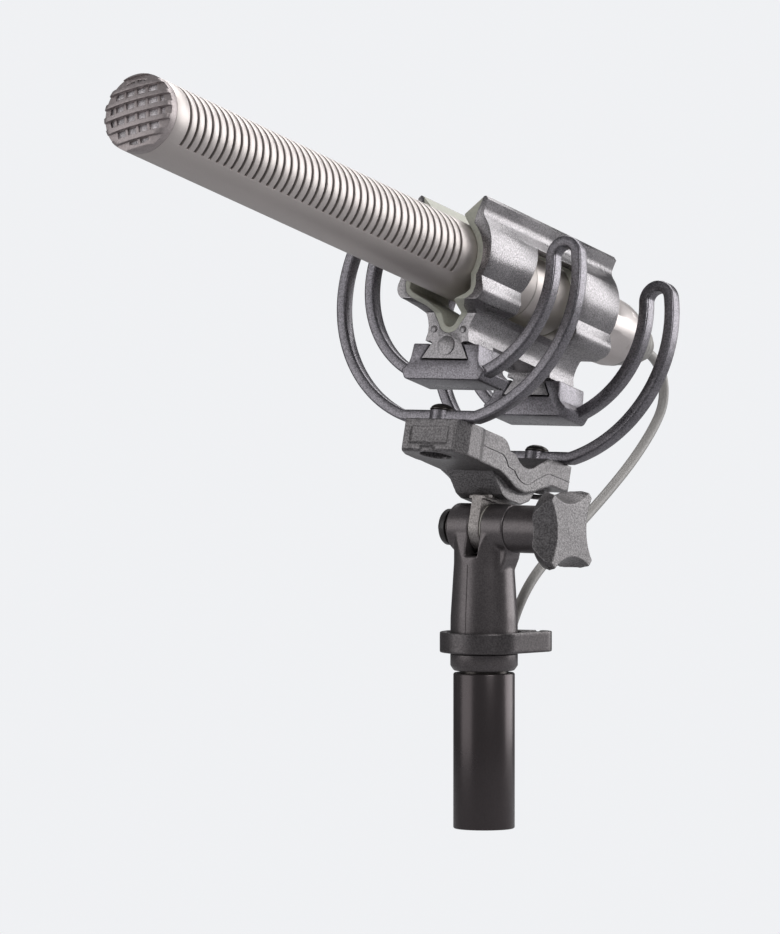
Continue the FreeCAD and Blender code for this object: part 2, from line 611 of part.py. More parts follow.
def swivel_body():
    column = spin([(COLLAR_TOP + 0.05, 5.9), (COLLAR_TOP + 0.05, NECK_R), (COLUMN_FOOT, NECK_R),
                   (COLUMN_FOOT, COLUMN_R - 0.3), (COLUMN_FOOT + 0.3, COLUMN_R), (53.0, COLUMN_R - 0.05),
                   (66.5, COLUMN_TOP_R), (86.0, COLUMN_TOP_R), (86.0, 0), (53.5, 0), (53.5, 5.9)], Z_AXIS)
    crown = arc_points((0, HINGE_HEIGHT), HEAD_R - 0.4, 0, 180, 12)
    side = [(COLUMN_R + 1, 40), (COLUMN_R + 1, 61), (COLUMN_TOP_R, 66.0), (6.9, 70.5)] + crown
    side += [(-6.9, 70.5), (-COLUMN_TOP_R, 66.0), (-COLUMN_R - 1, 61), (-COLUMN_R - 1, 40)]
    body = column.common(extrude_side(side, -20, 20))
    barrel = rod(HEAD_R, HEAD_LEFT, HEAD_RIGHT, X_AXIS, HINGE)
    gusset_face = [vec(4, 0, 64.6), vec(7.3, 0, 65.4), vec(HEAD_RIGHT, 0, 70.2), vec(HEAD_RIGHT, 0, 76)]
    gusset_face.append(vec(4, 0, 76))
    gusset = Part.Face(Part.makePolygon(gusset_face + gusset_face[:1])).extrude(vec(0, 9.0, 0))
    gusset.translate(vec(0, -4.5, 0))
    body = body.fuse([barrel, gusset]).removeSplitter()
    gap = TONGUE_THICK / 2 + WASHER_THICK + SLIP
    slot = box(SLOT_CENTRE - gap, SLOT_CENTRE + gap, -20, 20, HINGE_HEIGHT - TONGUE_R - 0.6, 100)
    body = body.cut(slot)
    return body.cut(rod(BOLT_R + SLIP, -20, 20, X_AXIS, HINGE))


def hinge_parts():
    washers = []
    for side in (-1, 1):
        centre = SLOT_CENTRE + side * (TONGUE_THICK / 2 + SLIP / 2 + WASHER_THICK / 2)
        start = centre - WASHER_THICK / 2
        washers.append(tube(5.8, BOLT_R + SLIP, start, start + WASHER_THICK, X_AXIS, HINGE))
    save("friction_washers", washers)
    bolt = rod(BOLT_R, HEAD_LEFT - 1.6, KNOB_END - 1.6, X_AXIS, HINGE)
    head = hexagon(3.5, HINGE + vec(HEAD_LEFT - 3.4, 0, 0), 1.9, X_AXIS)
    save("hinge_bolt", bolt.fuse(head).removeSplitter())
    save("bolt_washer", tube(4.15, BOLT_R + SLIP, HEAD_LEFT - 1.5, HEAD_LEFT, X_AXIS, HINGE))
    cap = spin([(HEAD_LEFT - 1.5, 4.1), (HEAD_LEFT - 3.4, 4.1), (HEAD_LEFT - 3.4, 0), (HEAD_LEFT - 5.1, 0),
                (HEAD_LEFT - 5.1, 2.0), (HEAD_LEFT - 4.6, 2.5), (HEAD_LEFT - 3.5, 2.7), (HEAD_LEFT - 3.4, 4.4),
                (HEAD_LEFT - 1.5, 4.6)], X_AXIS, HINGE)
    save("bolt_cap", cap)
    save("hinge_spacer", tube(6.0, BOLT_R + SLIP, HEAD_RIGHT, SPACER_END, X_AXIS, HINGE))


def knob_parts():
    """Four lobes with hollows that run out from a round inner end."""
    start = SPACER_END + 0.1
    distance = KNOB_WAIST + KNOB_HOLLOW_R
    outline = [(start, 4.0), (start, KNOB_ROOT_R), (KNOB_LOBE_START, KNOB_LOBE_R), (KNOB_END, KNOB_LOBE_R)]
    knob = spin(outline + [(KNOB_END, 0), (KNOB_END - 1.2, 0), (KNOB_END - 1.2, 4.0)], X_AXIS, HINGE)
    for y, z in arc_points((0, 0), distance, 0, 270, 3):
        base = HINGE + vec(start, y, z)
        knob = knob.cut(Part.makeCone(distance - KNOB_DISC_R, KNOB_HOLLOW_R, KNOB_END - start, base, X_AXIS))
    save("wing_knob", knob)
    save("knob_insert", tube(4.0, BOLT_R + SLIP, start, KNOB_END - 1.3, X_AXIS, HINGE))


def cable_clip():
    """Ring round the swivel's neck with an open ear that holds a cable."""
    ring = rod(RING_R, RING_BOTTOM, RING_TOP, Z_AXIS)
    ear = rod(EAR_R, RING_BOTTOM, RING_TOP, Z_AXIS, vec(EAR_DISTANCE, 0, 0))
    reach = math.degrees(math.asin((RING_R - EAR_R) / EAR_DISTANCE))
    side = math.radians(90 - reach)
    edge = [vec(RING_R * math.cos(side), sign * RING_R * math.sin(side), RING_BOTTOM) for sign in (1, -1)]
    tip_x = EAR_DISTANCE + EAR_R * math.cos(side)
    tip = [vec(tip_x, sign * EAR_R * math.sin(side), RING_BOTTOM) for sign in (1, -1)]
    web_face = Part.Face(Part.makePolygon([edge[0], tip[0], tip[1], edge[1], edge[0]]))
    web = web_face.extrude(vec(0, 0, RING_TOP - RING_BOTTOM))
    body = ring.fuse([ear, web]).removeSplitter()
    body = body.cut(rod(NECK_R + SLIP, 0, 100, Z_AXIS))
    body = body.cut(rod(COLUMN_R + 0.75, RING_WEB_TOP, 100, Z_AXIS))
    body = body.cut(rod(EAR_BORE_R, 0, 100, Z_AXIS, vec(EAR_DISTANCE, 0, 0)))
    mouth = box(0, 10, -0.55, 0.55, 0, 100)
    mouth.rotate(vec(0, 0, 0), Z_AXIS, 62)
    mouth.translate(vec(EAR_DISTANCE, 0, 0))
    body = body.cut(mouth)
    body.rotate(vec(0, 0, 0), Z_AXIS, EAR_DEG)
    return body


def thread_adapter():
    """Collar below the ring, with a spigot up into the swivel and a tapped bore below."""
    return spin([(COLLAR_BOTTOM, STUD_R + SLIP), (COLLAR_BOTTOM, TUBE_R), (COLLAR_BOTTOM + 1.1, COLUMN_R),
                 (COLLAR_TOP, COLUMN_R), (COLLAR_TOP, 5.9), (53.0, 5.9), (53.0, STUD_R + SLIP)], Z_AXIS)


# ---- stand tube ----

GROMMET_DEG = 109.0
GROMMET_IN = (5.6, 25.6)      # (distance from the tube's line, height) of the cable's end
GROMMET_OUT = (11.4, 31.4)


def around(distance, height, degrees=GROMMET_DEG):
    angle = math.radians(degrees)
    return vec(distance * math.cos(angle), distance * math.sin(angle), height)


def grommet_axis():
    start = around(GROMMET_IN[0], GROMMET_IN[1])
    direction = around(GROMMET_OUT[0], GROMMET_OUT[1]) - start
    direction.normalize()
    return start, direction


def tube_parts():
    start, direction = grommet_axis()
    body = tube(TUBE_R, TUBE_R - TUBE_WALL, 0, TUBE_TOP, Z_AXIS)
    body = body.cut(Part.makeCylinder(2.3, 12, start - direction * 1.0, direction))
    save("stand_tube", body)
    sleeve = Part.makeCylinder(2.25, 4.2, start - direction * 0.6, direction)
    flange = Part.makeCylinder(3.2, 2.6, start + direction * 1.4, direction)
    flange = flange.cut(rod(TUBE_R + 0.02, 0, TUBE_TOP, Z_AXIS))
    hollow = Part.makeCylinder(CABLE_BORE_R, 20, start - direction * 5, direction)
    grommet = sleeve.cut(rod(TUBE_R - TUBE_WALL - 0.5, 0, TUBE_TOP, Z_AXIS)).fuse(flange).cut(hollow)
    save("cable_grommet", largest(grommet))
    plug = spin([(30.5, 0), (30.5, TUBE_R - TUBE_WALL), (TUBE_TOP, TUBE_R - TUBE_WALL), (TUBE_TOP, 6.0),
                 (COLLAR_BOTTOM, 6.0), (COLLAR_BOTTOM, STUD_R), (50.0, STUD_R), (51.0, STUD_R - 0.8),
                 (51.0, 0)], Z_AXIS)
    save("tube_stud", plug)
    save("tube_insert", tube(TUBE_R - TUBE_WALL, THREAD_R, 0, THREAD_LENGTH, Z_AXIS))


def largest(shape):
    return sorted(shape.Solids, key=lambda solid: solid.Volume)[-1]


# ---- cable ----

def cable_route():
    """Points of the cable's route in the model's frame, from inside the boot to inside the tube."""
    start = MIC_PLACE.multVec(vec(0, BOOT_END - 6.0, 0))
    leave = MIC_PLACE.multVec(vec(0, BOOT_END + 3.0, 0))
    route = [start, leave]
    side = [(83.6, 112.4), (84.4, 104.2), (78.4, 97.2), (68.6, 89.4), (56.6, 81.8), (44.2, 74.7),
            (31.8, 67.8), (22.4, 62.0)]
    route += [vec(0, y, z) for y, z in side]
    route += [vec(-0.4, 16.2, 55.0), vec(-2.2, 14.2, 46.6), around(13.7, 38.6)]
    route += [around(GROMMET_OUT[0], GROMMET_OUT[1]), around(GROMMET_IN[0], GROMMET_IN[1])]
    return route


def cable_path(route):
    """Straight runs joined by arcs, each as large as its two runs allow."""
    edges = []
    at = route[0]
    for before, corner, after in zip(route, route[1:], route[2:]):
        back = before - corner
        ahead = after - corner
        shorter = min(back.Length, ahead.Length)
        back.normalize()
        ahead.normalize()
        turn = math.pi - back.getAngle(ahead)
        radius = 0.45 * shorter / math.tan(turn / 2)
        print("cable radius %.1f turn %.1f run %.1f" % (radius, math.degrees(turn), shorter))
        first = corner + back * (0.45 * shorter)
        last = corner + ahead * (0.45 * shorter)
        inward = back + ahead
        inward.normalize()
        middle = corner + inward * (radius / math.cos(turn / 2) - radius)
        edges.append(Part.LineSegment(at, first).toShape())
        edges.append(Part.Arc(first, middle, last).toShape())
        at = last
    edges.append(Part.LineSegment(at, route[-1]).toShape())
    return Part.Wire(edges)


def mic_cable():
    route = cable_route()
    path = cable_path(route)
    direction = route[1] - route[0]
    circle = Part.Wire(Part.Circle(route[0], direction, CABLE_R).toShape())
    solid = path.makePipeShell([circle], True, False)
    section = math.pi * CABLE_R ** 2
    print("cable length %.1f volume %.1f against %.1f" % (path.Length, solid.Volume, section * path.Length))
    return solid


def main():
    os.makedirs(OUT_DIR, exist_ok=True)
    save("front_grille_cap", front_grille_cap(), True)
    save("grille_mesh", grille_mesh(), True)
    save("interference_tube", interference_tube(), True)
    save("rear_body", rear_body(), True)
    capsule_parts()
    board_parts()
    save("connector_shell", connector_shell(), True)
    connector_inner_parts()
    save("connector_boot", connector_boot(), True)
    clip_parts()
    lyre_parts()
    save("suspension_bar", suspension_bar(), True)
    tongue_parts()
    save("swivel_body", swivel_body())
    hinge_parts()
    knob_parts()
    save("cable_clip", cable_clip())
    save("thread_adapter", thread_adapter())
    tube_parts()
    save("mic_cable", mic_cable())


main()
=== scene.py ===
import json
import math

import bmesh
import bpy
from mathutils import Matrix, Vector


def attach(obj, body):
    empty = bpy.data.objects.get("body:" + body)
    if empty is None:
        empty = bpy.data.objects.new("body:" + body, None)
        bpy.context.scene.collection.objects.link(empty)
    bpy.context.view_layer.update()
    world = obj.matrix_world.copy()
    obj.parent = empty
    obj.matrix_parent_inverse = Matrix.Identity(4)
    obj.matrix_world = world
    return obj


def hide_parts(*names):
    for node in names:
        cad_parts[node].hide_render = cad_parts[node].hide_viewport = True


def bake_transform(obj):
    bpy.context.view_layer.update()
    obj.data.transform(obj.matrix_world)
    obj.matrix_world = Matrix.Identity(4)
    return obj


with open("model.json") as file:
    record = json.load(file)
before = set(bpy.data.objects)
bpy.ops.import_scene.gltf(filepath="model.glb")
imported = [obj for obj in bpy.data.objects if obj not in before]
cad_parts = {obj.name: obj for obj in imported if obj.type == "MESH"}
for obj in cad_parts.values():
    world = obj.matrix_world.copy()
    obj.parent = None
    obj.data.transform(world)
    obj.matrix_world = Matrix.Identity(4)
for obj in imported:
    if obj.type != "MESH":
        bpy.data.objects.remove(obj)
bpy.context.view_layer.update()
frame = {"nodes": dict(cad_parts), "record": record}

bl_info = {
    "name": "Shotgun Microphone in Lyre Suspension",
    "version": (1, 0, 0),
    "blender": (4, 5, 0),
    "location": "View3D > Sidebar > Microphone",
    "description": "Builds a condenser microphone, its clip, lyre suspension, swivel, stand tube and cable",
    "category": "Object",
}

MM = 0.001

# Sizes are millimetres. The microphone, clip, lyres and bar are drawn in the microphone's frame:
# x across, y along the axis from the front rim to the cable, z square to both.
TILT = math.radians(15.0)
CROSS_Y = 151.3
CROSS_HEIGHT = 138.65
MIC_BASE = Vector((0.0, -CROSS_Y * math.cos(TILT), CROSS_HEIGHT + CROSS_Y * math.sin(TILT)))
MIC_PLACE = Matrix.Translation(MIC_BASE) @ Matrix.Rotation(-TILT, 4, "X")
UNMOVED = Matrix.Identity(4)
FLAT = 35.0                      # edges flatter than this, in degrees, are shaded smooth

AXLE = (0.0, 75.2)               # y and z of the hinge's axis in the row frame
HINGE_Y = 167.7                  # the same axis in the microphone's frame
HINGE_Z = -61.3
BOLT_HOLE_R = 2.6

MIC_R = 9.5
TUBE_WALL = 0.9
TUBE_SEGMENTS = 180
SLOT_START_DEG = -38.0
SLOT_SPAN_DEG = 112
FIRST_SLOT = 8.4
TUBE_END = 161.0

CAP_DOME = 1.2                   # how far the middle of the grille stands out
BALL = (MIC_R ** 2 + CAP_DOME ** 2) / (2 * CAP_DOME)
GRID_PITCH = 3.1
GRID_GAP = 2.0
GRID_TURN_DEG = -14.0
GROOVE = 1.0                     # depth of the grille's grooves
UPRIGHT = 0.6                    # thickness and width of the uprights behind them
UPRIGHT_WIDTH = 0.66
NET_R = 7.95
WINDOW_R = 7.9

CLIP_FRONT = 133.0
CLIP_REAR = 193.7
CLIP_TOP = [(9.0, 15.2)]         # where the shell's outline meets the liner's

FRONT_PLATFORM = 139.3
REAR_PLATFORM = 177.4
PLATFORM_LENGTH = 11.6
STRAP_INSET = 0.9
STRAP_DEPTH = 3.6
OUTER_R = 34.6
OUTER_Z = -6.0
INNER_R = 26.7
INNER_Z = -3.2
TURN_Z = 2.2
SPLIT_DEG = 9.0                  # the outer loop's piece ends this far up its arc

BAR_BOLTS = (142.0, 186.3)
BAR_TOP = -40.3
CABLE_SIDE_DEG = 109.0           # the side of the stand tube that the cable goes in


# ---------------------------------------------------------------- outlines and solids

def arc(cx, cz, radius, start, end, steps):
    """Points on an arc, angles in degrees."""
    points = []
    for step in range(steps + 1):
        angle = math.radians(start + (end - start) * step / steps)
        points.append((cx + radius * math.cos(angle), cz + radius * math.sin(angle)))
    return points


def place_point(axis, across, along):
    """A point across one axis, at a distance along it."""
    if axis == "X":
        return (along, across[0], across[1])
    if axis == "Y":
        return (across[0], along, across[1])
    return (across[0], across[1], along)


def prism(outline, low, high, axis="Y"):
    """A closed outline carried along an axis."""
    count = len(outline)
    verts = [place_point(axis, point, low) for point in outline]
    verts += [place_point(axis, point, high) for point in outline]
    faces = [tuple(range(count)), tuple(range(count, 2 * count))]
    for i in range(count):
        j = (i + 1) % count
        faces.append((i, j, count + j, count + i))
    return verts, faces


def block(x0, x1, y0, y1, z0, z1):
    return prism([(x0, z0), (x1, z0), (x1, z1), (x0, z1)], y0, y1)


def lathe(profile, axis="Y", at=(0.0, 0.0), segments=96):
    """A closed profile of (along, radius) points turned round an axis."""
    count = len(profile)
    verts = []
    faces = []
    rings = []
    for along, radius in profile:
        ring = []
        if radius < 1e-6:
            verts.append(place_point(axis, at, along))
            ring = [len(verts) - 1] * segments
        else:
            for step in range(segments):
                angle = 2 * math.pi * step / segments
                across = (at[0] + radius * math.cos(angle), at[1] + radius * math.sin(angle))
                verts.append(place_point(axis, across, along))
                ring.append(len(verts) - 1)
        rings.append(ring)
    for index in range(count):
        first = rings[index]
        second = rings[(index + 1) % count]
        for step in range(segments):
            after = (step + 1) % segments
            corners = [first[step], first[after], second[after], second[step]]
            unique = list(dict.fromkeys(corners))
            if len(unique) > 2:
                faces.append(tuple(unique))
    return verts, faces


def rod(radius, low, high, axis="Y", at=(0.0, 0.0), segments=96):
    return lathe([(low, 0.0), (low, radius), (high, radius), (high, 0.0)], axis, at, segments)


def pipe(outer, inner, low, high, axis="Y", at=(0.0, 0.0), segments=96):
    return lathe([(low, inner), (low, outer), (high, outer), (high, inner)], axis, at, segments)


def turned(part, degrees, axis="Y"):
    """A part turned about an axis through the origin."""
    turn = Matrix.Rotation(math.radians(degrees), 3, axis)
    verts, faces = part
    return [tuple(turn @ Vector(vert)) for vert in verts], faces


def new_object(name, data):
    obj = bpy.data.objects.new(name, data)
    bpy.context.scene.collection.objects.link(obj)
    return obj


def make(name, parts, place=UNMOVED):
    """One object from several parts in millimetres, with faces turned outward."""
    built = bmesh.new()
    for verts, faces in parts:
        made = [built.verts.new(vert) for vert in verts]
        for face in faces:
            built.faces.new([made[index] for index in face])
    bmesh.ops.recalc_face_normals(built, faces=built.faces)
    built.transform(Matrix.Scale(MM, 4) @ place)
    mesh = bpy.data.meshes.new(name)
    built.to_mesh(mesh)
    built.free()
    return new_object(name, mesh)


def evaluated_mesh(obj):
    graph = bpy.context.evaluated_depsgraph_get()
    return bpy.data.meshes.new_from_object(obj.evaluated_get(graph), depsgraph=graph)


def bake(obj):
    """Turns an object's modifiers into a plain mesh."""
    mesh = evaluated_mesh(obj)
    old = obj.data
    obj.modifiers.clear()
    obj.data = mesh
    mesh.name = obj.name
    if old.users == 0:
        bpy.data.meshes.remove(old)
    return obj


def combine(obj, other, operation, overlap=False):
    """Cuts another object from this one, adds it or keeps what both fill, then removes the other."""
    step = obj.modifiers.new("Join", "BOOLEAN")
    step.operation = operation
    step.solver = "EXACT"
    step.use_self = overlap
    step.object = other
    bake(obj)
    bpy.data.objects.remove(other)
    return obj


def join(obj, parts, place=UNMOVED, operation="DIFFERENCE", overlap=True):
    """Cuts parts from an object, or adds them to it."""
    return combine(obj, make(obj.name + "_other", parts, place), operation, overlap)


def soften(obj, width, segments=2, angle=FLAT):
    """Rounds the sharp edges."""
    step = obj.modifiers.new("Soften", "BEVEL")
    step.width = width * MM
    step.segments = segments
    step.limit_method = "ANGLE"
    step.angle_limit = math.radians(angle)
    step.use_clamp_overlap = True
    step.miter_outer = "MITER_ARC"
    return bake(obj)


def cast(obj, cell, passes):
    """Makes one skin with blended corners, as a moulded or cast piece has."""
    skin = obj.modifiers.new("Skin", "REMESH")
    skin.mode = "VOXEL"
    skin.voxel_size = cell * MM
    skin.use_smooth_shade = True
    calm = obj.modifiers.new("Calm", "SMOOTH")
    calm.factor = 0.5
    calm.iterations = passes
    return bake(obj)


def show(obj, body, material, nodes=(), angle=FLAT, ride=True):
    """Gives a piece its finish and its body, and hides the CAD nodes that it stands for."""
    obj.data.materials.clear()
    obj.data.materials.append(finish(material))
    for polygon in obj.data.polygons:
        polygon.material_index = 0
    obj.data.shade_smooth()
    obj.data.set_sharp_from_angle(angle=math.radians(angle))
    if ride:
        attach(obj, body)
    if nodes:
        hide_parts(*nodes)
    return obj


# ---------------------------------------------------------------- nodes

def set_inputs(tree, node, inputs):
    """Links each input to a socket, or sets it to a value."""
    for key, given in inputs.items():
        if isinstance(given, bpy.types.NodeSocket):
            tree.links.new(given, node.inputs[key])
        else:
            node.inputs[key].default_value = given


def add_node(tree, kind, inputs, **choices):
    node = tree.nodes.new(kind)
    for name, choice in choices.items():
        setattr(node, name, choice)
    set_inputs(tree, node, inputs)
    return node


# ---------------------------------------------------------------- geometry node trees

def new_tree(name, sockets):
    tree = bpy.data.node_groups.new(name, "GeometryNodeTree")
    tree.interface.new_socket("Geometry", in_out="INPUT", socket_type="NodeSocketGeometry")
    for label, kind in sockets:
        tree.interface.new_socket(label, in_out="INPUT", socket_type=kind)
    tree.interface.new_socket("Geometry", in_out="OUTPUT", socket_type="NodeSocketGeometry")
    return tree, tree.nodes.new("NodeGroupInput"), tree.nodes.new("NodeGroupOutput")


def end_tree(tree, geometry, start, last):
    """Every tree ends in Realize Instances and Set Material."""
    real = add_node(tree, "GeometryNodeRealizeInstances", {"Geometry": geometry})
    paint = add_node(tree, "GeometryNodeSetMaterial", {
        "Geometry": real.outputs["Geometry"], "Material": start.outputs["Material"]})
    tree.links.new(paint.outputs["Geometry"], last.inputs["Geometry"])
    return tree


def sweep_tree():
    """A rounded bar along the path of a mesh's edges."""
    known = bpy.data.node_groups.get("Sweep along path")
    if known:
        return known
    sockets = [("Width", "NodeSocketFloat"), ("Depth", "NodeSocketFloat"), ("Corner", "NodeSocketFloat")]
    tree, start, last = new_tree("Sweep along path", sockets + [("Material", "NodeSocketMaterial")])
    given = start.outputs
    path = add_node(tree, "GeometryNodeMeshToCurve", {"Mesh": given["Geometry"]})
    section = add_node(tree, "GeometryNodeCurvePrimitiveQuadrilateral", {
        "Height": given["Width"], "Width": given["Depth"]})
    rounded = add_node(tree, "GeometryNodeFilletCurve", {
        "Curve": section.outputs["Curve"], "Count": 3, "Radius": given["Corner"]}, mode="POLY")
    sweep = add_node(tree, "GeometryNodeCurveToMesh", {
        "Curve": path.outputs["Curve"], "Profile Curve": rounded.outputs["Curve"], "Fill Caps": True})
    return end_tree(tree, sweep.outputs["Mesh"], start, last)


def row_tree():
    """Copies of a unit in a straight row, welded to each other and to the input's own ends."""
    known = bpy.data.node_groups.get("Row of units")
    if known:
        return known
    sockets = [("Unit", "NodeSocketObject"), ("Count", "NodeSocketInt"), ("Offset", "NodeSocketVector")]
    sockets += [("Weld", "NodeSocketFloat"), ("Material", "NodeSocketMaterial")]
    tree, start, last = new_tree("Row of units", sockets)
    given = start.outputs
    line = add_node(tree, "GeometryNodeMeshLine", {"Count": given["Count"], "Offset": given["Offset"]})
    unit = add_node(tree, "GeometryNodeObjectInfo", {"Object": given["Unit"]})
    copies = add_node(tree, "GeometryNodeInstanceOnPoints", {
        "Points": line.outputs["Mesh"], "Instance": unit.outputs["Geometry"]})
    both = add_node(tree, "GeometryNodeJoinGeometry", {"Geometry": copies.outputs["Instances"]})
    tree.links.new(given["Geometry"], both.inputs["Geometry"])
    real = add_node(tree, "GeometryNodeRealizeInstances", {"Geometry": both.outputs["Geometry"]})
    weld = add_node(tree, "GeometryNodeMergeByDistance", {
        "Geometry": real.outputs["Geometry"], "Distance": given["Weld"]})
    return end_tree(tree, weld.outputs["Geometry"], start, last)


def run_tree(obj, tree, values):
    """Runs a node tree on an object and keeps the result as a plain mesh."""
    step = obj.modifiers.new("Nodes", "NODES")
    step.node_group = tree
    sockets = {item.name: item.identifier for item in tree.interface.items_tree if item.in_out == "INPUT"}
    for label, value in values.items():
        step[sockets[label]] = value
    return bake(obj)


def swept(name, points, width, depth, corner, material):
    """A bar of rounded section along points in the microphone's frame, in millimetres."""
    edges = [(index, index + 1) for index in range(len(points) - 1)]
    mesh = bpy.data.meshes.new(name)
    mesh.from_pydata([tuple(MM * value for value in point) for point in points], edges, [])
    values = {"Width": width * MM, "Depth": depth * MM, "Corner": corner * MM, "Material": finish(material)}
    return run_tree(new_object(name, mesh), sweep_tree(), values)


def shift_mesh(obj, place=MIC_PLACE):
    """Moves a mesh drawn in the microphone's frame to its place."""
    obj.data.transform(Matrix.Translation(place.translation * MM) @ place.to_3x3().to_4x4())
    return obj


# ---------------------------------------------------------------- shader groups and finishes

def shader_group(name, inputs, outputs):
    group = bpy.data.node_groups.new(name, "ShaderNodeTree")
    for label, kind, value in inputs:
        socket = group.interface.new_socket(label, in_out="INPUT", socket_type=kind)
        if value is not None:
            socket.default_value = value
    for label, kind in outputs:
        group.interface.new_socket(label, in_out="OUTPUT", socket_type=kind)
    return group, group.nodes.new("NodeGroupInput"), group.nodes.new("NodeGroupOutput")


def math_node(group, operation, first, second, clamp=False):
    """The output of a Math node on a socket and a second socket or value."""
    node = add_node(group, "ShaderNodeMath", {0: first, 1: second}, operation=operation, use_clamp=clamp)
    return node.outputs[0]


def grain_group():
    """Fine moulded or blasted grain: a height, and the same grain as a mask."""
    known = bpy.data.node_groups.get("Surface grain")
    if known:
        return known
    inputs = [("Vector", "NodeSocketVector", None), ("Grain Scale", "NodeSocketFloat", 2600.0)]
    inputs += [("Pit Amount", "NodeSocketFloat", 0.4)]
    outputs = [("Height", "NodeSocketFloat"), ("Mask", "NodeSocketFloat")]
    group, start, last = shader_group("Surface grain", inputs, outputs)
    given = start.outputs
    place = {"Vector": given["Vector"], "Scale": given["Grain Scale"]}
    fine = add_node(group, "ShaderNodeTexNoise", {**place, "Detail": 3.0}).outputs["Fac"]
    cells = add_node(group, "ShaderNodeTexVoronoi", place).outputs["Distance"]
    pits = math_node(group, "MULTIPLY", cells, given["Pit Amount"])
    spread = math_node(group, "MULTIPLY", math_node(group, "SUBTRACT", fine, 0.5), 3.2)
    set_inputs(group, last, {
        "Height": math_node(group, "ADD", fine, pits),
        "Mask": math_node(group, "ADD", spread, 0.5, clamp=True)})
    return group


def tone_group():
    """Slow variation of colour, handling marks and dust on upward faces."""
    known = bpy.data.node_groups.get("Tone and dust")
    if known:
        return known
    inputs = [("Vector", "NodeSocketVector", None), ("Color", "NodeSocketColor", (0.5, 0.5, 0.5, 1.0))]
    inputs += [("Variation", "NodeSocketFloat", 0.1), ("Dust", "NodeSocketFloat", 0.05)]
    inputs += [("Grain", "NodeSocketFloat", 0.5)]
    outputs = [("Color", "NodeSocketColor"), ("Roughness Shift", "NodeSocketFloat")]
    group, start, last = shader_group("Tone and dust", inputs, outputs)
    given = start.outputs
    slow = add_node(group, "ShaderNodeTexNoise", {
        "Vector": given["Vector"], "Scale": 75.0, "Detail": 4.0}).outputs["Fac"]
    swing = math_node(group, "MULTIPLY", math_node(group, "SUBTRACT", slow, 0.5), given["Variation"])
    speck = math_node(group, "MULTIPLY", math_node(group, "SUBTRACT", given["Grain"], 0.5), given["Variation"])
    factor = math_node(group, "ADD", math_node(group, "ADD", swing, speck), 1.0)
    tinted = add_node(group, "ShaderNodeVectorMath", {}, operation="SCALE")
    set_inputs(group, tinted, {0: given["Color"], "Scale": factor})
    facing = group.nodes.new("ShaderNodeNewGeometry")
    split = add_node(group, "ShaderNodeSeparateXYZ", {0: facing.outputs["Normal"]})
    upward = math_node(group, "POWER", math_node(group, "MAXIMUM", split.outputs["Z"], 0.0), 3.0)
    patch = math_node(group, "MULTIPLY", upward, slow)
    dusty = math_node(group, "MULTIPLY", patch, given["Dust"], clamp=True)
    mix = add_node(group, "ShaderNodeMix", {}, data_type="RGBA")
    set_inputs(group, mix, {"Factor": dusty, "A": tinted.outputs[0], "B": (0.55, 0.54, 0.52, 1.0)})
    shift = math_node(group, "ADD", math_node(group, "MULTIPLY", swing, 0.6), dusty)
    set_inputs(group, last, {"Color": mix.outputs["Result"], "Roughness Shift": shift})
    return group


def linear(red, green, blue):
    """A colour from 0 to 255 screen values."""
    values = []
    for part in (red, green, blue):
        part = part / 255.0
        values.append(part / 12.92 if part <= 0.04045 else ((part + 0.055) / 1.055) ** 2.4)
    return (*values, 1.0)


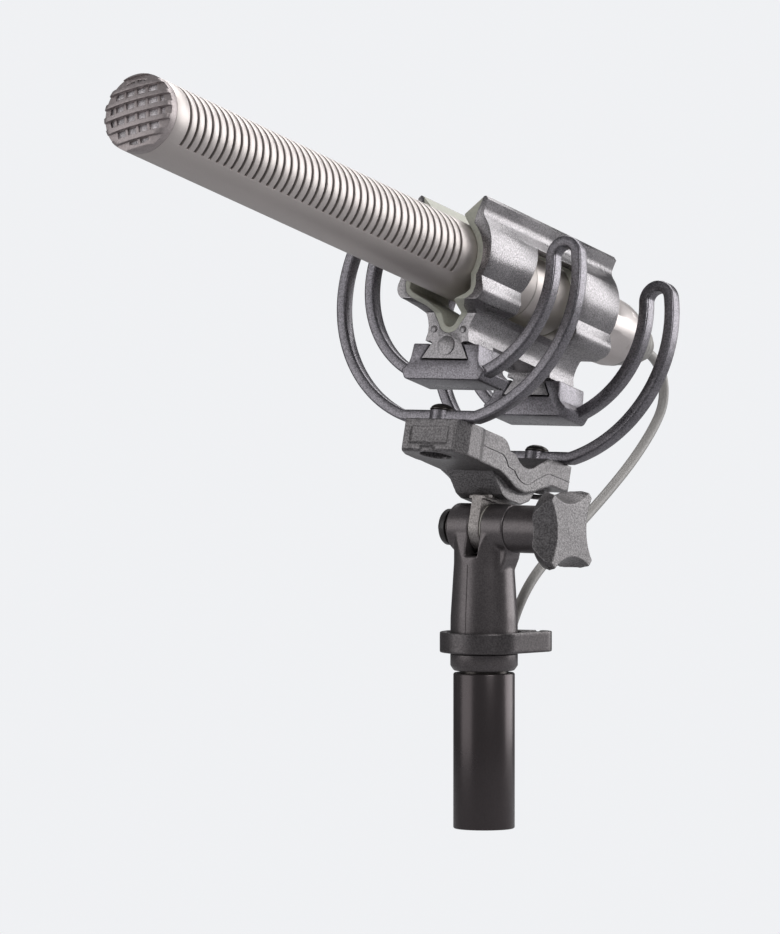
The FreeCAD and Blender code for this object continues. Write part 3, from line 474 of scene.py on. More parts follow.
# name: colour, metallic, roughness, grain scale, grain depth (mm), variation, dust, pits
FINISHES = {
    "satin_nickel": (linear(200, 193, 190), 0.9, 0.47, 5200.0, 0.005, 0.08, 0.02, 0.2),
    "nickel_shell": (linear(200, 193, 191), 0.9, 0.38, 5200.0, 0.005, 0.12, 0.03, 0.2),
    "black_metal": (linear(168, 159, 159), 0.6, 0.42, 2600.0, 0.008, 0.25, 0.05, 0.3),
    "dark_mesh": (linear(250, 246, 248), 0.0, 0.50, 2600.0, 0.015, 0.20, 0.03, 0.6),
    "dark_cloth": (linear(46, 40, 38), 0.0, 0.95, 2600.0, 0.060, 0.30, 0.0, 0.4),
    "brass": (linear(190, 160, 90), 0.95, 0.35, 4200.0, 0.010, 0.15, 0.02, 0.2),
    "polished_metal": (linear(215, 215, 218), 1.0, 0.12, 5200.0, 0.004, 0.05, 0.0, 0.1),
    "white_plastic": (linear(226, 223, 214), 0.0, 0.5, 3000.0, 0.010, 0.06, 0.02, 0.2),
    "board_green": (linear(36, 92, 62), 0.0, 0.4, 3000.0, 0.010, 0.15, 0.02, 0.2),
    "black_plastic": (linear(52, 49, 49), 0.0, 0.35, 2000.0, 0.015, 0.25, 0.04, 0.3),
    "gold_contact": (linear(210, 172, 92), 1.0, 0.25, 4200.0, 0.006, 0.08, 0.0, 0.1),
    "spring_steel": (linear(160, 160, 163), 1.0, 0.3, 4200.0, 0.006, 0.10, 0.0, 0.1),
    "grey_plastic": (linear(112, 112, 112), 0.0, 0.5, 3000.0, 0.010, 0.10, 0.03, 0.2),
    "black_rubber": (linear(78, 75, 75), 0.0, 0.5, 1800.0, 0.020, 0.25, 0.06, 0.4),
    "clip_grey": (linear(140, 137, 139), 0.88, 0.30, 2600.0, 0.018, 0.70, 0.03, 0.5),
    "olive_rubber": (linear(184, 184, 172), 0.0, 0.50, 1800.0, 0.015, 0.15, 0.05, 0.3),
    "lyre_grey": (linear(124, 121, 126), 0.82, 0.31, 2500.0, 0.020, 0.75, 0.03, 0.5),
    "black_steel": (linear(74, 70, 68), 0.8, 0.30, 3600.0, 0.008, 0.20, 0.04, 0.2),
    "bar_grey": (linear(114, 111, 112), 0.58, 0.37, 2300.0, 0.034, 0.90, 0.05, 0.6),
    "tongue_grey": (linear(146, 141, 139), 0.70, 0.38, 2400.0, 0.026, 0.70, 0.05, 0.6),
    "satin_black": (linear(102, 97, 98), 0.72, 0.34, 2800.0, 0.010, 0.40, 0.04, 0.3),
    "ring_grey": (linear(92, 88, 89), 0.68, 0.33, 2400.0, 0.014, 0.60, 0.05, 0.4),
    "gloss_black": (linear(80, 74, 75), 0.70, 0.28, 3600.0, 0.004, 0.08, 0.01, 0.2),
    "cable_grey": (linear(160, 157, 154), 0.0, 0.40, 2200.0, 0.012, 0.18, 0.05, 0.3),
}


def finish(name):
    """A procedural material, built once for each material slot."""
    label = "finish_" + name
    material = bpy.data.materials.get(label)
    if material:
        return material
    color, metallic, roughness, scale, depth, variation, dust, pits = FINISHES[name]
    looks = bpy.context.scene.microphone_finish
    material = bpy.data.materials.new(label)
    material.use_nodes = True
    tree = material.node_tree
    place = tree.nodes.new("ShaderNodeTexCoord").outputs["Object"]
    grain = add_node(tree, "ShaderNodeGroup", {
        "Vector": place, "Grain Scale": scale * looks.grain_scale, "Pit Amount": pits}, node_tree=grain_group())
    tone = add_node(tree, "ShaderNodeGroup", {
        "Vector": place, "Color": color, "Variation": variation, "Dust": dust * looks.dust,
        "Grain": grain.outputs["Mask"]}, node_tree=tone_group())
    bump = add_node(tree, "ShaderNodeBump", {
        "Strength": 1.0, "Distance": depth * MM, "Height": grain.outputs["Height"]})
    set_inputs(tree, tree.nodes["Principled BSDF"], {
        "Base Color": tone.outputs["Color"], "Metallic": metallic, "Normal": bump.outputs["Normal"],
        "Roughness": math_node(tree, "ADD", tone.outputs["Roughness Shift"], roughness, clamp=True)})
    return material


# ---------------------------------------------------------------- microphone

def slotted_unit(settings):
    """One pitch of the slotted tube: a row of slots and the land behind it, open at both ends."""
    rows = [0.0, settings.slot_width / MM, settings.slot_pitch / MM]
    segments = TUBE_SEGMENTS
    verts = []
    for radius in (MIC_R, MIC_R - TUBE_WALL):
        for y in rows:
            for step in range(segments):
                angle = math.radians(SLOT_START_DEG + 360.0 * step / segments)
                verts.append((radius * math.cos(angle), y, radius * math.sin(angle)))

    def at(layer, row, step):
        return (layer * len(rows) + row) * segments + step % segments

    half = segments // 2
    cut = round(segments * SLOT_SPAN_DEG / 360)
    slot = [step % half < cut for step in range(segments)]
    faces = []
    for step in range(segments):
        after = step + 1
        for layer in (0, 1):
            if not slot[step]:
                faces.append((at(layer, 0, step), at(layer, 0, after), at(layer, 1, after), at(layer, 1, step)))
            faces.append((at(layer, 1, step), at(layer, 1, after), at(layer, 2, after), at(layer, 2, step)))
        if slot[step]:
            for row in (1, 0):
                faces.append((at(0, row, step), at(0, row, after), at(1, row, after), at(1, row, step)))
        if slot[step] != slot[step - 1]:
            faces.append((at(0, 0, step), at(0, 1, step), at(1, 1, step), at(1, 0, step)))
    return verts, faces


def tube_end(low, high, closed_at):
    """Plain end of the slotted tube, open where it meets the slots."""
    inner = MIC_R - TUBE_WALL
    verts = []
    for radius, y in ((inner, low), (MIC_R, low), (MIC_R, high), (inner, high)):
        for step in range(TUBE_SEGMENTS):
            angle = math.radians(SLOT_START_DEG + 360.0 * step / TUBE_SEGMENTS)
            verts.append((radius * math.cos(angle), y, radius * math.sin(angle)))
    faces = []
    for ring in range(4):
        after = (ring + 1) % 4
        if ring == (2 if closed_at == "low" else 0):
            continue
        for step in range(TUBE_SEGMENTS):
            nxt = (step + 1) % TUBE_SEGMENTS
            faces.append((ring * TUBE_SEGMENTS + step, ring * TUBE_SEGMENTS + nxt,
                          after * TUBE_SEGMENTS + nxt, after * TUBE_SEGMENTS + step))
    return verts, faces


def build_tube(settings):
    pitch = settings.slot_pitch / MM
    last = FIRST_SLOT + settings.slot_count * pitch
    unit = make("slot_unit", [slotted_unit(settings)], Matrix.Translation((0.0, FIRST_SLOT, 0.0)))
    tube = make("microphone_tube", [tube_end(3.2, FIRST_SLOT, "low"), tube_end(last, TUBE_END, "high")])
    run_tree(tube, row_tree(), {
        "Unit": unit, "Count": settings.slot_count, "Offset": (0.0, pitch * MM, 0.0), "Weld": 0.00001,
        "Material": finish("satin_nickel")})
    bpy.data.objects.remove(unit)
    fix = bmesh.new()
    fix.from_mesh(tube.data)
    bmesh.ops.recalc_face_normals(fix, faces=fix.faces)
    fix.to_mesh(tube.data)
    fix.free()
    shift_mesh(tube)
    soften(tube, 0.09, 2, 60)
    show(tube, "microphone", "satin_nickel", ["interference_tube"])
    profile = [(161.35, 8.15), (161.35, 9.3), (161.5, MIC_R - 0.03), (161.7, MIC_R), (177.6, MIC_R)]
    profile += [(177.85, MIC_R - 0.1), (178.0, MIC_R - 0.3), (178.0, 8.15)]
    spigot = pipe(8.55, 7.65, 156.1, 161.9)
    rear = make("microphone_rear", [lathe(profile, segments=128), spigot], MIC_PLACE)
    show(rear, "microphone", "satin_nickel", ["rear_body"])
    lining = make("tube_lining_cloth", [pipe(8.5, 8.15, 6.0, 127.5, segments=64)], MIC_PLACE)
    show(lining, "microphone", "dark_cloth", ["tube_lining"])


def dome_point(radius, inset=0.0):
    """Distance along the axis of the dome, less an inset, at a radius from the axis."""
    return BALL - CAP_DOME - math.sqrt((BALL - inset) ** 2 - radius ** 2)


def dome_profile(inset, radii):
    """The dome's profile through some radii, less an inset."""
    return [(dome_point(radius, inset), radius) for radius in radii]


def build_grille():
    profile = [(-CAP_DOME, 0.0)] + dome_profile(0.0, [8.7 * step / 12 for step in range(1, 13)])
    rim = MIC_R - 0.02
    profile += [(0.02, 9.0), (0.2, 9.27), (0.5, 9.42), (0.8, rim), (3.15, rim), (3.15, 8.2)]
    profile += dome_profile(GROOVE + UPRIGHT, [8.2 * step / 12 for step in range(12, -1, -1)])
    cap = make("front_grille", [lathe(profile, segments=128)])
    rows = [(index - 2.5) * GRID_PITCH for index in range(6)]
    gap = GRID_GAP / 2
    grooves = make("grille_grooves", [block(-12, 12, -3, 2.6, z - gap, z + gap) for z in rows])
    behind = dome_profile(GROOVE, [13.0 * step / 14 for step in range(15)]) + [(6.0, 13.0), (6.0, 0.0)]
    join(grooves, [lathe(behind, segments=128)], overlap=False)
    half = (GRID_PITCH - UPRIGHT_WIDTH) / 2
    windows = make("grille_windows", [
        block(x - half, x + half, -0.5, 3.6, z - gap + 0.01, z + gap - 0.01)
        for x in rows for z in rows if math.hypot(abs(x) - half, abs(z) - gap) < 7.2])
    join(windows, [rod(WINDOW_R, -4, 6)], operation="INTERSECT")
    for cutter in (grooves, windows):
        combine(cap, cutter, "DIFFERENCE")
    shift_mesh(cap, Matrix.Rotation(math.radians(GRID_TURN_DEG), 4, "Y"))
    shift_mesh(cap)
    soften(cap, 0.12, 2, 40)
    show(cap, "microphone", "black_metal", ["front_grille_cap"])
    build_mesh_disc()


def build_mesh_disc():
    """Domed disc of fine wire cloth: a closed sheet with two layers of wires on its front."""
    front = GROOVE + UPRIGHT + 0.2
    radii = [NET_R * step / 12 for step in range(13)]
    sheet = dome_profile(front, radii) + dome_profile(front + 0.15, radii[::-1])
    parts = [lathe(sheet)]
    pitch = 0.42
    count = int(7.8 / pitch)
    for index in range(-count, count + 1):
        offset = index * pitch
        reach = math.sqrt(7.9 ** 2 - offset ** 2)
        parts += [wire(offset, reach, front, way) for way in ("upright", "level")]
    place = MIC_PLACE @ Matrix.Rotation(math.radians(GRID_TURN_DEG), 4, "Y")
    show(make("grille_net", parts, place), "microphone", "dark_mesh", ["grille_mesh"])


def wire(offset, reach, inset, way):
    """One wire of the cloth, following the dome."""
    verts = []
    steps = 12
    half = 0.12
    for step in range(steps + 1):
        along = -reach + 2 * reach * step / steps
        depth = dome_point(math.hypot(offset, along), inset)
        lift = 0.16 if way == "upright" else 0.1
        for side, out in ((-half, 0.02), (-half * 0.5, -lift), (half * 0.5, -lift), (half, 0.02)):
            across = offset + side
            point = (across, depth + out, along) if way == "upright" else (along, depth + out, across)
            verts.append(point)
    faces = [(0, 1, 2, 3), tuple(4 * steps + corner for corner in range(4))]
    for step in range(steps):
        for corner in range(4):
            nxt = (corner + 1) % 4
            faces.append((4 * step + corner, 4 * step + nxt, 4 * step + 4 + nxt, 4 * step + 4 + corner))
    return verts, faces


# ---------------------------------------------------------------- connector

def build_connector():
    profile = [(178.25, 7.15), (178.25, 9.1), (178.5, 9.35), (190.0, 9.35), (204.0, 9.05), (211.6, 8.62)]
    profile += [(212.6, 8.45), (213.0, 8.1), (213.0, 7.15)]
    shell = make("plug_shell", [lathe(profile, segments=128), pipe(8.0, 7.2, 166.1, 178.6)])
    recess = block(8.72, 10.5, 196.5, 209.0, -2.6, 2.6)
    cuts = [turned(recess, 30 + 60 * index) for index in range(6)]
    cuts.append(block(-2.65, 2.65, 182.85, 189.15, 5.0, 12.0))
    join(shell, cuts, overlap=False)
    shift_mesh(shell)
    soften(shell, 0.14, 2, 30)
    show(shell, "microphone", "nickel_shell", ["connector_shell"])
    button = make("plug_latch", [block(-2.5, 2.5, 183.0, 189.0, 7.0, 9.6)])
    ribs = [block(-2.3, 2.3, 183.9 + 1.25 * index, 184.5 + 1.25 * index, 9.5, 10.1) for index in range(4)]
    join(button, ribs, operation="UNION")
    shift_mesh(button)
    soften(button, 0.15, 2, 30)
    show(button, "latch", "nickel_shell", ["latch_button"])
    profile = [(213.05, 1.36), (213.05, 7.7), (213.3, 8.05)]
    ribs = 5
    pitch = 2.55
    rib = ((0.2, 0.0), (0.58, 0.1), (0.68, 0.3), (0.72, 0.85), (0.92, 0.95), (0.98, 0.7))
    for index in range(ribs):
        radius = 8.1 - 3.9 * index / ribs
        start = 213.2 + index * pitch
        profile += [(start + along * pitch, radius - inset) for along, inset in rib]
    profile += [(227.4, 3.6), (227.85, 3.3), (228.0, 2.9), (228.0, 1.36)]
    boot = make("cable_boot", [lathe(profile, segments=96)], MIC_PLACE)
    show(boot, "microphone", "cable_grey", ["connector_boot"], angle=50)


# ---------------------------------------------------------------- clip

def clip_outer():
    side = arc(0.6, 1.4, 12.9, 41, -26, 26)
    lobe = arc(9.6, -8.2, 3.1, 25, -75, 14)
    lip = [(9.7, 15.4), (10.5, 14.5), (9.9, 12.6), (9.7, 11.5), (9.85, 10.6)]
    foot = [(8.6, -12.2), (7.2, -13.4), (6.55, -14.8), (6.1, -16.4), (6.0, -18.0), (6.3, -19.4)]
    foot += [(6.4, -20.2), (5.0, -20.2), (4.3, -20.6), (6.7, -24.6)]
    return CLIP_TOP + lip + side + [(11.85, -4.9)] + lobe + foot


def clip_seat():
    side = arc(0.0, 0.0, 11.2, 49, -25, 26)
    channel = arc(0.0, -14.8, 3.3, -20, -90, 8)
    throat = [(10.5, -7.4), (9.9, -9.4), (8.6, -10.5), (5.6, -12.0), (4.2, -14.2)]
    return CLIP_TOP + [(7.7, 10.9)] + side + throat + channel


def liner_inner():
    seat = arc(0.0, 0.0, MIC_R + 0.02, 41, -28, 26)
    channel = arc(0.0, -14.6, 1.9, -20, -90, 8)
    throat = [(8.9, -6.4), (9.0, -8.3), (8.0, -9.3), (4.1, -11.2), (2.6, -13.6)]
    return CLIP_TOP + [(4.0, 10.6), (4.6, 9.6)] + seat + throat + channel


def band(outer, inner):
    """Closed outline between two half outlines and their mirror images."""
    left = [(-x, z) for x, z in reversed(outer)]
    inside = inner + [(-x, z) for x, z in reversed(inner) if abs(x) > 1e-6]
    return outer + left + list(reversed(inside))[1:-1]


def clip_cuts():
    """Side windows, cut-back ends and the gap between the feet."""
    side = [(150.9, -11.8), (150.6, -9.0), (151.0, -6.0), (154.0, 3.0), (155.6, 7.6)]
    side += [(177.0, 7.6), (177.0, -11.8)]
    front = [(120, -7.2), (CLIP_FRONT, -10.9), (139.4, -13.0), (139.4, -30), (120, -30)]
    rear = [(188.9, -30), (188.9, -13.0), (CLIP_REAR, -12.0), (205, -9.8), (205, -30)]
    cuts = [prism(outline, -30, 30, "X") for outline in (side, front, rear)]
    return cuts + [block(-30, 30, 150.8, 177.5, -40, -19.0)]


def build_clip():
    shell = make("clip_shell", [prism(band(clip_outer(), clip_seat()), CLIP_FRONT, CLIP_REAR)])
    join(shell, clip_cuts())
    shift_mesh(shell)
    soften(shell, 0.32, 3, 38)
    marks = []
    for low, high in ((139.15, 139.6), (188.7, 189.15)):
        for at, radius, edge, segments in (((0.0, -21.3), 2.45, 0.25, 48), ((-4.3, -17.2), 0.9, 0.15, 32),
                                           ((4.3, -17.2), 0.9, 0.15, 32)):
            pad = [(low, 0), (low, radius - edge), (low + 0.1, radius), (high, radius), (high, 0)]
            marks.append(lathe(pad, at=at, segments=segments))
    join(shell, marks, MIC_PLACE, "UNION")
    show(shell, "microphone", "clip_grey", ["mic_clip"])
    liner = make("clip_liner_soft", [prism(band(clip_seat(), liner_inner()), CLIP_FRONT, CLIP_REAR)])
    join(liner, clip_cuts())
    shift_mesh(liner)
    soften(liner, 0.2, 3, 38)
    show(liner, "microphone", "olive_rubber", ["clip_liner"])


# ---------------------------------------------------------------- lyres

def turn_geometry():
    """Centre and radius of the U-turn between the outer and inner loops."""
    rise_outer = TURN_Z - OUTER_Z
    rise_inner = TURN_Z - INNER_Z
    total = OUTER_R + INNER_R
    radius = (OUTER_R - INNER_R - (rise_outer ** 2 - rise_inner ** 2) / total) / 2
    return math.sqrt((OUTER_R - radius) ** 2 - rise_outer ** 2), radius


def outer_path(strap):
    """Half of the outer loop, from the screw to the split."""
    bottom = BAR_TOP + strap / 2
    start = -math.degrees(math.asin((OUTER_Z - bottom) / OUTER_R))
    flat = OUTER_R * math.cos(math.radians(start))
    ease = [(flat * index / 6, bottom) for index in range(6)]
    return ease + arc(0.0, OUTER_Z, OUTER_R, start, SPLIT_DEG, 44)


def inner_path():
    """Half of the inner arm: split, U-turn and inner loop down to the platform."""
    x, radius = turn_geometry()
    top = math.degrees(math.atan2(TURN_Z - OUTER_Z, x))
    turn = math.degrees(math.atan2(TURN_Z - INNER_Z, x))
    points = arc(0.0, OUTER_Z, OUTER_R, SPLIT_DEG, top, 4)
    points += arc(x, TURN_Z, radius, top, 180 + turn, 28)[1:]
    points += arc(0.0, INNER_Z, INNER_R, turn, -66.0, 40)[1:]
    return points


def lyre_pieces(name, platform_y, strap_y, settings):
    strap = settings.strap_width / MM
    depth = settings.strap_depth / MM
    middle = strap_y + STRAP_DEPTH / 2
    half = outer_path(strap)
    path = [(-x, middle, z) for x, z in reversed(half[1:])] + [(x, middle, z) for x, z in half]
    outer = swept(name + "_loop", path, strap, depth, settings.strap_corner / MM, "lyre_grey")
    boss = lathe([(BAR_TOP, 0), (BAR_TOP, 3.0), (-37.7, 3.0), (-37.5, 2.8), (-37.5, 0)], "Z", (0.0, middle), 48)
    join(outer, [boss], operation="UNION")
    join(outer, [rod(1.6, -45, -30, "Z", (0.0, middle), 32)])
    shift_mesh(outer)
    show(outer, "bar", "lyre_grey", [name], ride=False)
    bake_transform(outer)
    right = [(9.7, -20.9), (10.05, -24.4), (10.5, -25.9), (12.4, -27.5), (11.3, -29.6), (10.7, -30.0)]
    socket = [(7.05, -24.95), (5.0, -20.9)]
    outline = socket + right + [(-x, z) for x, z in reversed(socket + right)]
    platform = make(name + "_platform", [prism(outline, platform_y, platform_y + PLATFORM_LENGTH)])
    soften(platform, 0.35, 3, 30)
    for side in (-1, 1):
        points = [(side * x, middle, z) for x, z in inner_path()]
        arm = swept(name + "_arm", points, strap, depth, settings.strap_corner / MM, "lyre_grey")
        combine(platform, arm, "UNION")
    shift_mesh(platform)
    show(platform, "microphone", "lyre_grey", [name])


def build_lyres(settings):
    front_strap = FRONT_PLATFORM + STRAP_INSET
    rear_strap = REAR_PLATFORM + PLATFORM_LENGTH - STRAP_INSET - STRAP_DEPTH
    lyre_pieces("front_lyre", FRONT_PLATFORM, front_strap, settings)
    lyre_pieces("rear_lyre", REAR_PLATFORM, rear_strap, settings)
    washer = [(-37.48, 1.6), (-37.48, 3.0), (-37.4, 3.1), (-37.18, 3.1), (-37.1, 3.0), (-37.1, 1.6)]
    head = [(-37.1, 0), (-37.1, 2.75), (-36.9, 2.9), (-36.6, 2.75), (-36.2, 2.2), (-35.9, 1.5), (-35.82, 1.05)]
    head += [(-36.6, 1.0), (-36.6, 0)]
    washers = []
    screws = []
    nuts = []
    for strap_y in (front_strap, rear_strap):
        at = (0.0, strap_y + STRAP_DEPTH / 2)
        washers.append(lathe(washer, "Z", at, 48))
        screws += [lathe(head, "Z", at, 48), rod(1.45, -46.4, -36.8, "Z", at, 32)]
        nuts.append(prism([(at[0] + x, at[1] + y) for x, y in arc(0, 0, 3.1, 0, 300, 5)], -45.9, -43.5, "Z"))
    for name, parts, node in (("suspension_washers", washers, "lyre_washers"),
                              ("suspension_screws", screws, "lyre_screws")):
        show(make(name, parts, MIC_PLACE), "bar", "black_steel", [node])
    nut = soften(make("suspension_nuts", nuts, MIC_PLACE), 0.2, 2)
    show(nut, "bar", "black_steel", ["lyre_nuts"])


# ---------------------------------------------------------------- bar

def bar_top():
    points = [(137.7, BAR_TOP), (156.6, BAR_TOP)]
    points += arc(156.8, -45.3, 5.0, 82, 30, 8)
    points += arc(169.3, -38.4, 6.9, 224, 312, 16)
    points += arc(181.2, -46.3, 6.0, 125, 93, 8)
    return points + [(190.0, BAR_TOP), (190.5, BAR_TOP - 0.5)]


def bar_bottom():
    return [(190.5, -46.4), (189.9, -47.0), (181.5, -47.3), (177.5, -49.0), (173.6, -50.8), (169.6, -51.7),
            (165.4, -51.2), (161.6, -49.8), (157.5, -48.8), (138.3, -48.6), (137.7, -48.0)]


def build_bar():
    bar = make("suspension_bar_body", [prism(bar_top() + bar_bottom(), -9.5, 9.5, "X")])
    plan = [(7.6, 137.7), (9.5, 142.2), (9.5, 147.0), (9.0, 149.0), (9.0, 189.3), (7.8, 190.5)]
    outline = plan + [(-x, y) for x, y in reversed(plan)]
    join(bar, [prism(outline, -60, -30, "Z")], operation="INTERSECT")
    side = [(154.0, -46.0), (154.2, -48.6), (157.4, -48.9), (160.6, -51.4), (163.2, -53.6), (165.6, -54.3)]
    side += [(172.0, -54.3), (175.6, -52.6), (178.6, -48.4), (178.6, -46.0)]
    join(bar, [prism(side, -7.0, 7.0, "X")], operation="UNION")
    cuts = [block(-2.2, 3.8, HINGE_Y - 4.0, HINGE_Y + 4.0, -60, -51.0)]
    for y in BAR_BOLTS:
        cuts.append(rod(4.0, -60, -46.0, "Z", (0.0, y), 64))
        cuts.append(rod(1.7, -50, -30, "Z", (0.0, y), 32))
    cuts.append(rod(2.7, -47.0, -30, "Z", (0.8, HINGE_Y), 48))
    cuts.append(block(-5.6, 5.6, 137.0, 137.95, -46.6, -42.2))
    join(bar, cuts)
    for y in BAR_BOLTS:
        join(bar, [pipe(4.9, 4.0, -48.75, -47.5, "Z", (0.0, y), 64)], operation="UNION")
    cast(bar, 0.24, 4)
    shift_mesh(bar)
    show(bar, "bar", "bar_grey", ["suspension_bar"])
    ridge = [(y, z - 4.0) for y, z in bar_top()[2:-2]]
    ridge = [(149.0, -44.3)] + ridge + [(189.2, -44.3)]
    for name, x in (("bar_seam_left", -9.0), ("bar_seam_right", 9.0)):
        seam = swept(name, [(x, y, z) for y, z in ridge], 0.28, 0.32, 0.08, "bar_grey")
        show(shift_mesh(seam), "bar", "bar_grey")


# ---------------------------------------------------------------- swivel, hinge and knob

def build_swivel():
    profile = [(44.0, 5.95), (44.0, 7.0), (48.2, 7.0), (48.2, 8.1), (48.6, 8.45), (53.0, 8.4), (66.5, 7.55)]
    profile += [(78.0, 7.5), (78.0, 0.0), (53.5, 0.0), (53.5, 5.95)]
    body = make("swivel_fork", [lathe(profile, "Z", segments=96)])
    flank = [(9.5, 40), (9.5, 61), (7.9, 65.0), (6.9, 70.5)]
    side = flank + arc(*AXLE, 5.7, 0, 180, 16) + [(-y, z) for y, z in reversed(flank)]
    join(body, [prism(side, -20, 20, "X")], operation="INTERSECT")
    join(body, [rod(6.1, -7.65, 9.2, "X", AXLE)], operation="UNION")
    web = [(4.0, 62.5), (6.6, 63.6), (8.4, 67.5), (9.2, 71.5), (9.2, 76.0), (4.0, 76.0)]
    join(body, [prism(web, -3.4, 3.4, "Y")], operation="UNION")
    middle, gap = 0.8, 1.8
    slot = block(middle - gap, middle + gap, -20, 20, 68.4, 100)
    join(body, [slot, rod(BOLT_HOLE_R, -20, 20, "X", AXLE, 48)])
    cast(body, 0.22, 16)
    show(body, "stand", "satin_black", ["swivel_body"])
    for name, sign in (("swivel_seam_front", -1), ("swivel_seam_rear", 1)):
        points = [(0.0, sign * 8.38, 49.4), (0.0, sign * 8.36, 53.0), (0.0, sign * 7.55, 66.2)]
        show(swept(name, points, 0.3, 0.24, 0.07, "satin_black"), "stand", "satin_black")
    hinge = (HINGE_Y, HINGE_Z)
    wide, narrow = (HINGE_Y - 6.2, HINGE_Y + 6.2), (HINGE_Y - 3.9, HINGE_Y + 3.9)
    blade = make("swivel_tongue_blade", [block(-0.65, 2.25, *wide, HINGE_Z, -54.3)])
    for part in (rod(6.2, -0.65, 2.25, "X", hinge), block(-1.5, 3.1, *wide, -55.0, -54.32),
                 block(-2.1, 3.7, *narrow, -54.4, -51.1)):
        join(blade, [part], operation="UNION")
    join(blade, [rod(BOLT_HOLE_R, -5, 5, "X", hinge, 48)])
    shift_mesh(blade)
    soften(blade, 0.25, 3, 30)
    show(blade, "bar", "tongue_grey", ["swivel_tongue"])


def build_hinge():
    spacer = [(9.2, 2.6), (9.2, 5.6), (9.5, 5.95), (19.7, 5.95), (20.05, 5.6), (20.05, 2.6)]
    washer = [(-9.15, 2.6), (-9.15, 3.95), (-9.0, 4.15), (-7.8, 4.15), (-7.65, 4.0), (-7.65, 2.6)]
    cap = [(-9.15, 4.1), (-11.0, 4.1), (-11.0, 0.0), (-12.75, 0.0), (-12.7, 1.6), (-12.4, 2.2), (-12.0, 2.5)]
    cap += [(-11.6, 2.7), (-11.5, 3.3), (-11.3, 3.7), (-11.1, 3.95), (-10.9, 4.35), (-10.6, 4.55), (-9.3, 4.6)]
    cap += [(-9.15, 4.5)]
    for name, profile, segments, slot, node in (
            ("hinge_spacer_sleeve", spacer, 96, "satin_black", "hinge_spacer"),
            ("bolt_washer_ring", washer, 64, "black_steel", "bolt_washer"),
            ("bolt_cap_stepped", cap, 64, "black_plastic", "bolt_cap")):
        show(make(name, [lathe(profile, "X", AXLE, segments)]), "stand", slot, [node])


def build_knob():
    profile = [(20.25, 4.0), (20.25, 9.9), (21.0, 10.4), (24.2, 12.0), (26.2, 12.0), (26.2, 0.0)]
    profile += [(24.9, 0.0), (24.9, 4.0)]
    star = make("clamp_knob", [lathe(profile, "X", AXLE, 128)])
    hollow = [(20.0, 0.0), (20.0, 10.7), (26.5, 13.1), (26.5, 0.0)]
    hollows = [lathe(hollow, "X", (y, z + AXLE[1]), 160) for y, z in arc(0, 0, 19.6, 0, 270, 3)]
    join(star, hollows, overlap=False)
    cast(star, 0.17, 5)
    show(star, "knob", "bar_grey", ["wing_knob"])


def build_cable_clip():
    distance, ring_r, ear_r = 13.2, 11.1, 4.2
    reach = math.degrees(math.asin((ring_r - ear_r) / distance))
    ring = arc(0, 0, ring_r, 90 - reach, 270 + reach, 60)
    ear = arc(distance, 0, ear_r, -(90 - reach), 90 - reach, 24)
    body = make("cable_clip_ring", [prism(ring + ear, 44.1, 49.25, "Z")])
    mouth_verts, mouth_faces = turned(block(0, 10, -0.55, 0.55, 30, 60), 62, "Z")
    mouth = [(x + distance, y, z) for x, y, z in mouth_verts], mouth_faces
    bore, step, eye = rod(7.2, 40, 60, "Z"), rod(9.2, 48.1, 60, "Z"), rod(1.6, 40, 60, "Z", (distance, 0), 48)
    for cut in (bore, step, eye, mouth):
        join(body, [cut], overlap=False)
    body.data.transform(Matrix.Rotation(math.radians(48.0), 4, "Z"))
    cast(body, 0.2, 12)
    show(body, "clip_ring", "ring_grey", ["cable_clip"])


# ---------------------------------------------------------------- stand and cable

def around(distance, height):
    """A point beside the stand, on the cable's side."""
    angle = math.radians(CABLE_SIDE_DEG)
    return Vector((distance * math.cos(angle), distance * math.sin(angle), height))


def build_stand():
    collar = [(39.6, 4.8), (39.6, 7.5), (39.75, 7.7), (40.6, 8.3), (40.9, 8.45), (43.6, 8.45), (43.9, 8.2)]
    collar += [(43.9, 5.9), (53.0, 5.9), (53.0, 4.8)]
    show(make("thread_collar", [lathe(collar, "Z")]), "stand", "satin_black", ["thread_adapter"])
    tube = [(0.0, 6.55), (0.0, 7.45), (0.12, 7.62), (0.3, 7.7), (38.6, 7.7), (38.85, 7.6), (39.0, 7.4)]
    tube += [(39.0, 6.55)]
    pole = make("stand_pole", [lathe(tube, "Z", segments=128)])
    inside, outside = around(5.6, 25.6), around(11.4, 31.4)
    along = (outside - inside).normalized()
    turn = Vector((0, 0, 1)).rotation_difference(along).to_matrix().to_4x4()
    entry = Matrix.Translation(inside) @ turn
    join(pole, [rod(2.35, -1.0, 9.0, "Z", (0, 0), 48)], entry, overlap=False)
    soften(pole, 0.12, 2, 40)
    show(pole, "stand", "gloss_black", ["stand_tube"])
    ring = [(1.0, 1.36), (1.0, 2.2), (2.3, 2.25), (2.6, 3.0), (3.2, 3.15), (3.7, 2.9), (4.0, 2.3), (4.1, 1.36)]
    sleeve = make("cable_grommet_ring", [lathe(ring, "Z", segments=48)], entry)
    show(sleeve, "stand", "black_rubber", ["cable_grommet"])


def cable_route():
    """The cable's control points in the row frame, in millimetres: the CAD route's."""
    route = [MIC_PLACE @ Vector((0.0, y, 0.0)) for y in (222.0, 231.0)]
    for y, z in ((83.6, 112.4), (84.4, 104.2), (78.4, 97.2), (68.6, 89.4), (56.6, 81.8), (44.2, 74.7),
                 (31.8, 67.8), (22.4, 62.0)):
        route.append(Vector((0.0, y, z)))
    route += [Vector((-0.4, 16.2, 55.0)), Vector((-2.2, 14.2, 46.6))]
    return route + [around(13.7, 38.6), around(11.4, 31.4), around(5.6, 25.6)]


